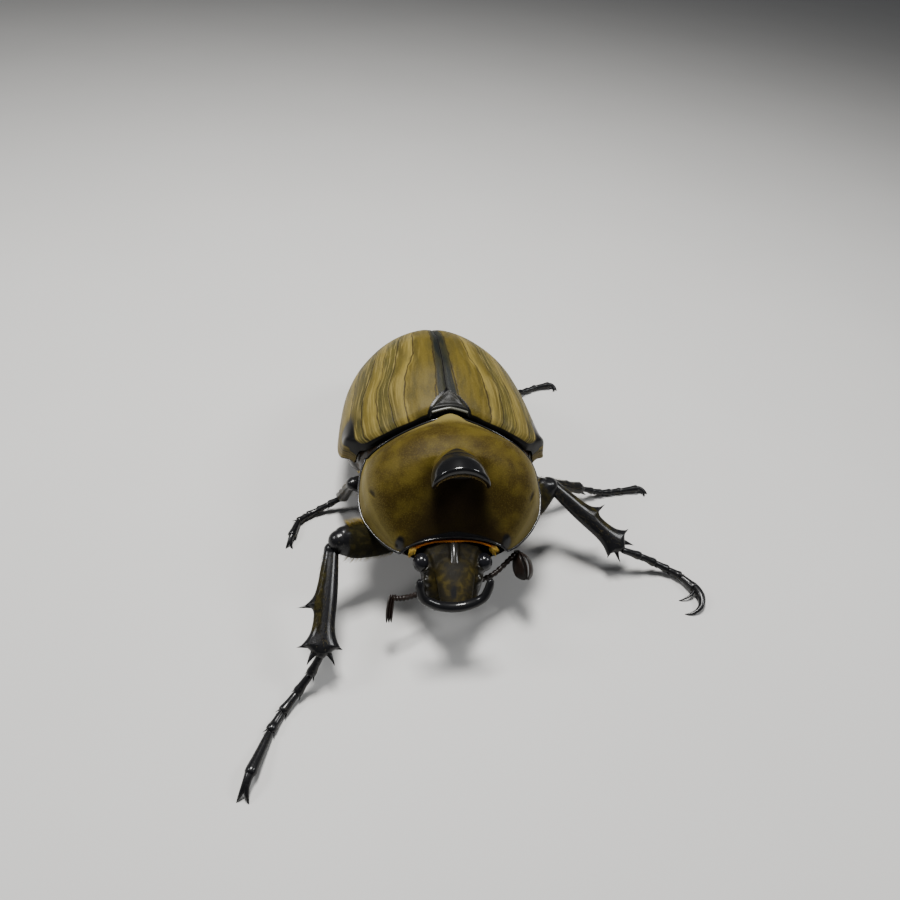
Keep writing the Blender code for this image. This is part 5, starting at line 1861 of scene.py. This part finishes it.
@dataclass
class Underside:
    """The breast and belly: smooth plates with hair along their seams.

    tuck is how far the breast's edge reaches up inside the shield, and breast_share its width
    as a share of the shield's. neck and tail are the ends of the hind body, and wall is how far
    it keeps inside the wing covers.
    """

    look: Look
    shield: Pronotum
    covers: Elytra
    tuck: float = 0.5
    breast_share: float = 0.955
    wall: float = 1.35
    neck: float = -4.4
    tail: float = 37.5
    keel: Profile = Profile((0, 6.4), (0.6, 5.0), (0.85, 6.2), (1, 8.8))
    belly: Profile = Profile((0, 5.0), (6, 3.8), (20, 3.8), (28, 4.8), (34, 7.0), (38, 9.6))
    seams: tuple[float, ...] = (19.2, 22.4, 25.3, 28.0, 30.4, 32.6)

    def trunk(self, along: Array, around: Array, start: float, stop: float) -> Array:
        """Return places round the hind body, with a step at each seam of the belly.

        Args:
            along: From 0 at start to 1 at stop.
            around: Round the body, from 0 to 1.
            start: The front end's y, in millimetres.
            stop: The rear end's y.

        Returns:
            The places, (n, 3).
        """
        y = start + (stop - start) * along
        angle = around * 2.0 * math.pi
        side, rise = np.sin(angle), np.cos(angle)
        neck = 1.0 - ease(y, self.neck, 1.0)
        covered = np.clip(y, 0.8, 38.3)
        half = self.covers.width(covered) - self.wall - 2.2 * neck
        rim = self.covers.margin(covered) - 0.6
        top = self.covers.top(covered) - self.wall - 0.6 * neck
        square = np.where(rise > 0.0, self.covers.roundness(y), 1.8 - 0.3 * neck)
        x = np.sign(side) * np.abs(side) ** (2.0 / square) * half
        z_top = rim + (top - rim) * np.clip(rise, 0.0, 1.0) ** (2.0 / square)
        z_low = rim - (rim - self.belly(y) - 3.5 * neck) * np.clip(-rise, 0.0, 1.0) ** (2.0 / square)
        step = np.zeros_like(y)
        for near, far in zip(self.seams, self.seams[1:]):
            share = np.clip((y - near) / (far - near), 0.0, 1.0)
            step = step + np.where((y > near) & (y <= far), 0.28 * (share - 0.5), 0.0)
        z = np.where(rise > 0.0, z_top, z_low - step * ease(-rise, 0.0, 0.5))
        return np.stack([x + self.covers.lean(y), y, z], axis=1)

    def build(self) -> None:
        """Make the fore, middle and hind parts and the end plate."""
        fore = Form()

        def breast(along: Array, around: Array) -> Array:
            """Run round the underside of the forebody.

            Args:
                along: From 0 at the rear to 1 at the front.
                around: From 0 to 1, side to side.

            Returns:
                The places, (n, 3).
            """
            t = around * 2.0 - 1.0
            across, up = arc(t, 1.5)
            x = self.shield.width(along) * self.breast_share * across
            sweep = self.shield.rear_sweep + (self.shield.front_sweep - self.shield.rear_sweep) * along
            rim = self.shield.margin(along) + self.tuck
            y = -self.shield.length * along - sweep * across ** 2
            return np.stack([x, y, rim - (rim - self.keel(along)) * up], axis=1)

        fore.sheet(90, 60, breast)
        fore.cap()
        fore.split_caps()
        fore.finish("prosternum_skin", self.look, Slot.GLOSS, ["prosternum"], sharp=70.0,
                    marks={"hair": lambda x, y, z: 0.5 * ease(z, 7.0, 11.0)})
        front, rear = self.seams[0], self.seams[-1]
        parts = (("thorax", self.neck, front), ("abdomen", front, rear), ("pygidium", rear, self.tail))
        for node, start, stop in parts:
            form = Form()
            form.sheet(96, 64, lambda along, around, a=start, b=stop: self.trunk(along, around, a, b))
            bmesh.ops.remove_doubles(form.bm, verts=form.bm.verts, dist=0.01)
            form.cap()
            form.finish(node + "_skin", self.look, Slot.GLOSS, [node], sharp=50.0,
                        marks={"hair": self.belly_hair})

    def belly_hair(self, x: Array, y: Array, z: Array) -> Array:
        """Return where short hair lines the seams of the belly and the sides of the breast."""
        near = np.min([np.abs(y - seam + 0.35) for seam in self.seams], axis=0)
        flank = 0.5 * (y < 18.0) * ease(np.abs(x), 7.0, 12.0)
        return np.clip(0.8 * (1.0 - ease(near, 0.0, 0.5)) + flank, 0.0, 1.0)


@dataclass(frozen=True)
class Lamp:
    """A soft square light: its place, what it aims at, its side and its power."""

    name: str
    place: Spot
    aim: Spot
    side: float
    power: float
    colour: Colour = (1.0, 1.0, 1.0)


@dataclass
class Studio:
    """The pale floor, the soft lights and the camera at the photograph's viewing angle."""

    yaw: float = -9.49
    elevation: float = 43.65
    roll: float = 6.55
    target: Spot = (-0.15, -4.69, 22.21)
    distance: float = 112.87
    lens: float = 27.0
    floor_radius: float = 3.0
    sky: Colour = (0.92, 0.95, 1.0)
    sky_strength: float = 0.13
    lamps: tuple[Lamp, ...] = (
        Lamp("key", (-25.0, 60.0, 320.0), (0.0, -5.0, 15.0), 80.0, 2.4, (1.0, 0.985, 0.96)),
        Lamp("side", (230.0, -20.0, 240.0), (0.0, -5.0, 15.0), 80.0, 0.5, (0.98, 0.99, 1.0)),
        Lamp("far", (-260.0, 20.0, 240.0), (0.0, -10.0, 12.0), 80.0, 0.5),
    )

    def build(self) -> None:
        """Make the floor, world, lights and camera."""
        form = bmesh.new()
        bmesh.ops.create_circle(form, cap_ends=True, segments=96, radius=self.floor_radius)
        mesh = bpy.data.meshes.new("floor")
        form.to_mesh(mesh)
        form.free()
        floor = new_item("floor", mesh)
        pale = Look("pale_floor", Specular_IOR_Level=0.25, Roughness=0.6)
        grain = pale.noise(0.02, 3.0)
        pale.give("Base Color", pale.mixed(grain, (0.40, 0.397, 0.389), (0.43, 0.426, 0.417)))
        floor.data.materials.append(pale.material)
        floor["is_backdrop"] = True
        world = bpy.data.worlds.new("studio")
        world.use_nodes = True
        glow = world.node_tree.nodes["Background"].inputs
        glow["Color"].default_value = (*self.sky, 1.0)
        glow["Strength"].default_value = self.sky_strength
        bpy.context.scene.world = world
        for lamp in self.lamps:
            self.add_lamp(lamp)
        self.add_camera()

    def add_lamp(self, lamp: Lamp) -> None:
        """Add one area light.

        Args:
            lamp: The light's plan.
        """
        light = bpy.data.lights.new(lamp.name, "AREA")
        light.shape, light.size, light.energy, light.color = "SQUARE", lamp.side * MM, lamp.power, lamp.colour
        item = new_item(lamp.name, light)
        item.location = BODY @ Vector(lamp.place)
        item.rotation_euler = (Vector(lamp.aim) - Vector(lamp.place)).to_track_quat("-Z", "Y").to_euler()

    def add_camera(self) -> None:
        """Add the camera, turned and rolled as the photograph was taken."""
        yaw, rise, roll = (math.radians(angle) for angle in (self.yaw, self.elevation, self.roll))
        back = Vector((math.sin(yaw) * math.cos(rise), -math.cos(yaw) * math.cos(rise), math.sin(rise)))
        level = Vector((math.cos(yaw), math.sin(yaw), 0.0))
        upright = back.cross(level)
        right = level * math.cos(roll) + upright * math.sin(roll)
        up = upright * math.cos(roll) - level * math.sin(roll)
        data = bpy.data.cameras.new("camera")
        data.lens, data.sensor_width = self.lens, 36.0
        data.clip_start, data.clip_end = 0.005, 20.0
        item = new_item("camera", data)
        place = BODY @ (Vector(self.target) + back * self.distance)
        item.matrix_world = Matrix.Translation(place) @ Matrix((right, up, back)).transposed().to_4x4()
        bpy.context.scene.camera = item


def main() -> None:
    """Build the beetle piece by piece, then the studio."""
    logging.basicConfig(level=logging.INFO, format="%(message)s")
    shell = Chitin(ChitinTone("shell_gloss"))
    polished = Chitin(ChitinTone("horn_gloss", roughness=0.08, mirror=0.4, pits_per_mm=0.9, pit_depth=0.006))
    plate = Chitin(ChitinTone("plate_gloss", base=(0.006, 0.006, 0.0055), roughness=0.4, pits_per_mm=3.2,
                             pit_depth=0.05, mirror=0.12, hair=(0.018, 0.016, 0.008)))
    leg_shell = Chitin(ChitinTone("leg_gloss", roughness=0.2, pits_per_mm=1.8, pit_depth=0.13, mirror=0.4,
                                  dots=0.5, hair=(0.034, 0.028, 0.006)))
    face = Chitin(ChitinTone("face_shell", base=(0.004, 0.0035, 0.002), roughness=0.14, pits_per_mm=3.0,
                             pit_depth=0.015, mirror=0.45, hair=(0.042, 0.031, 0.004)))
    dull = Chitin(ChitinTone("feeler_shell", base=(0.006, 0.0035, 0.0025), roughness=0.22, mirror=0.25,
                             hair=(0.022, 0.013, 0.009)))
    belly = Chitin(ChitinTone("belly_shell", base=(0.008, 0.005, 0.003), roughness=0.25, pits_per_mm=2.0,
                              hair=(0.07, 0.035, 0.01)))
    velvet = ShieldVelvet("shield_velvet", 0.6)
    shield = Pronotum(velvet, shell, PronotumHorn(ShieldVelvet("horn_velvet", 0.75)))
    shield.build()
    covers = Elytra(CoverVelvet())
    covers.build()
    edge = Chitin(ChitinTone("edge_sheen", base=(0.05, 0.05, 0.04), roughness=0.36, mirror=1.0,
                             pit_depth=0.01))
    Scutellum(plate, edge).build()
    Head(face, polished, dull, EyeGloss()).build()
    legs = [Leg(plan, PAIRS[plan.pair], leg_shell) for plan in LEGS]
    coat, bristles = Coat(31), Coat(32)
    for k, leg in enumerate(legs):
        patch = (0.05 + 0.3 * (k % 3), 0.05 + 0.4 * (k // 3))
        leg.build()
        leg.add_thigh_hair(coat, patch)
        leg.add_bristles(bristles, patch)
    coat.finish("leg_hair", Seta("olive_seta", (0.06, 0.042, 0.006), (0.3, 0.215, 0.035)))
    bristles.finish("leg_bristles", Seta("dark_seta", (0.02, 0.015, 0.005), (0.09, 0.07, 0.022)))
    Underside(belly, shield, covers).build()
    Studio().build()
    ({"cad": [list(corner) for corner in CAD_BOX],
               "visual": [list(corner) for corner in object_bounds()]})


if __name__ == "__main__":
    main()
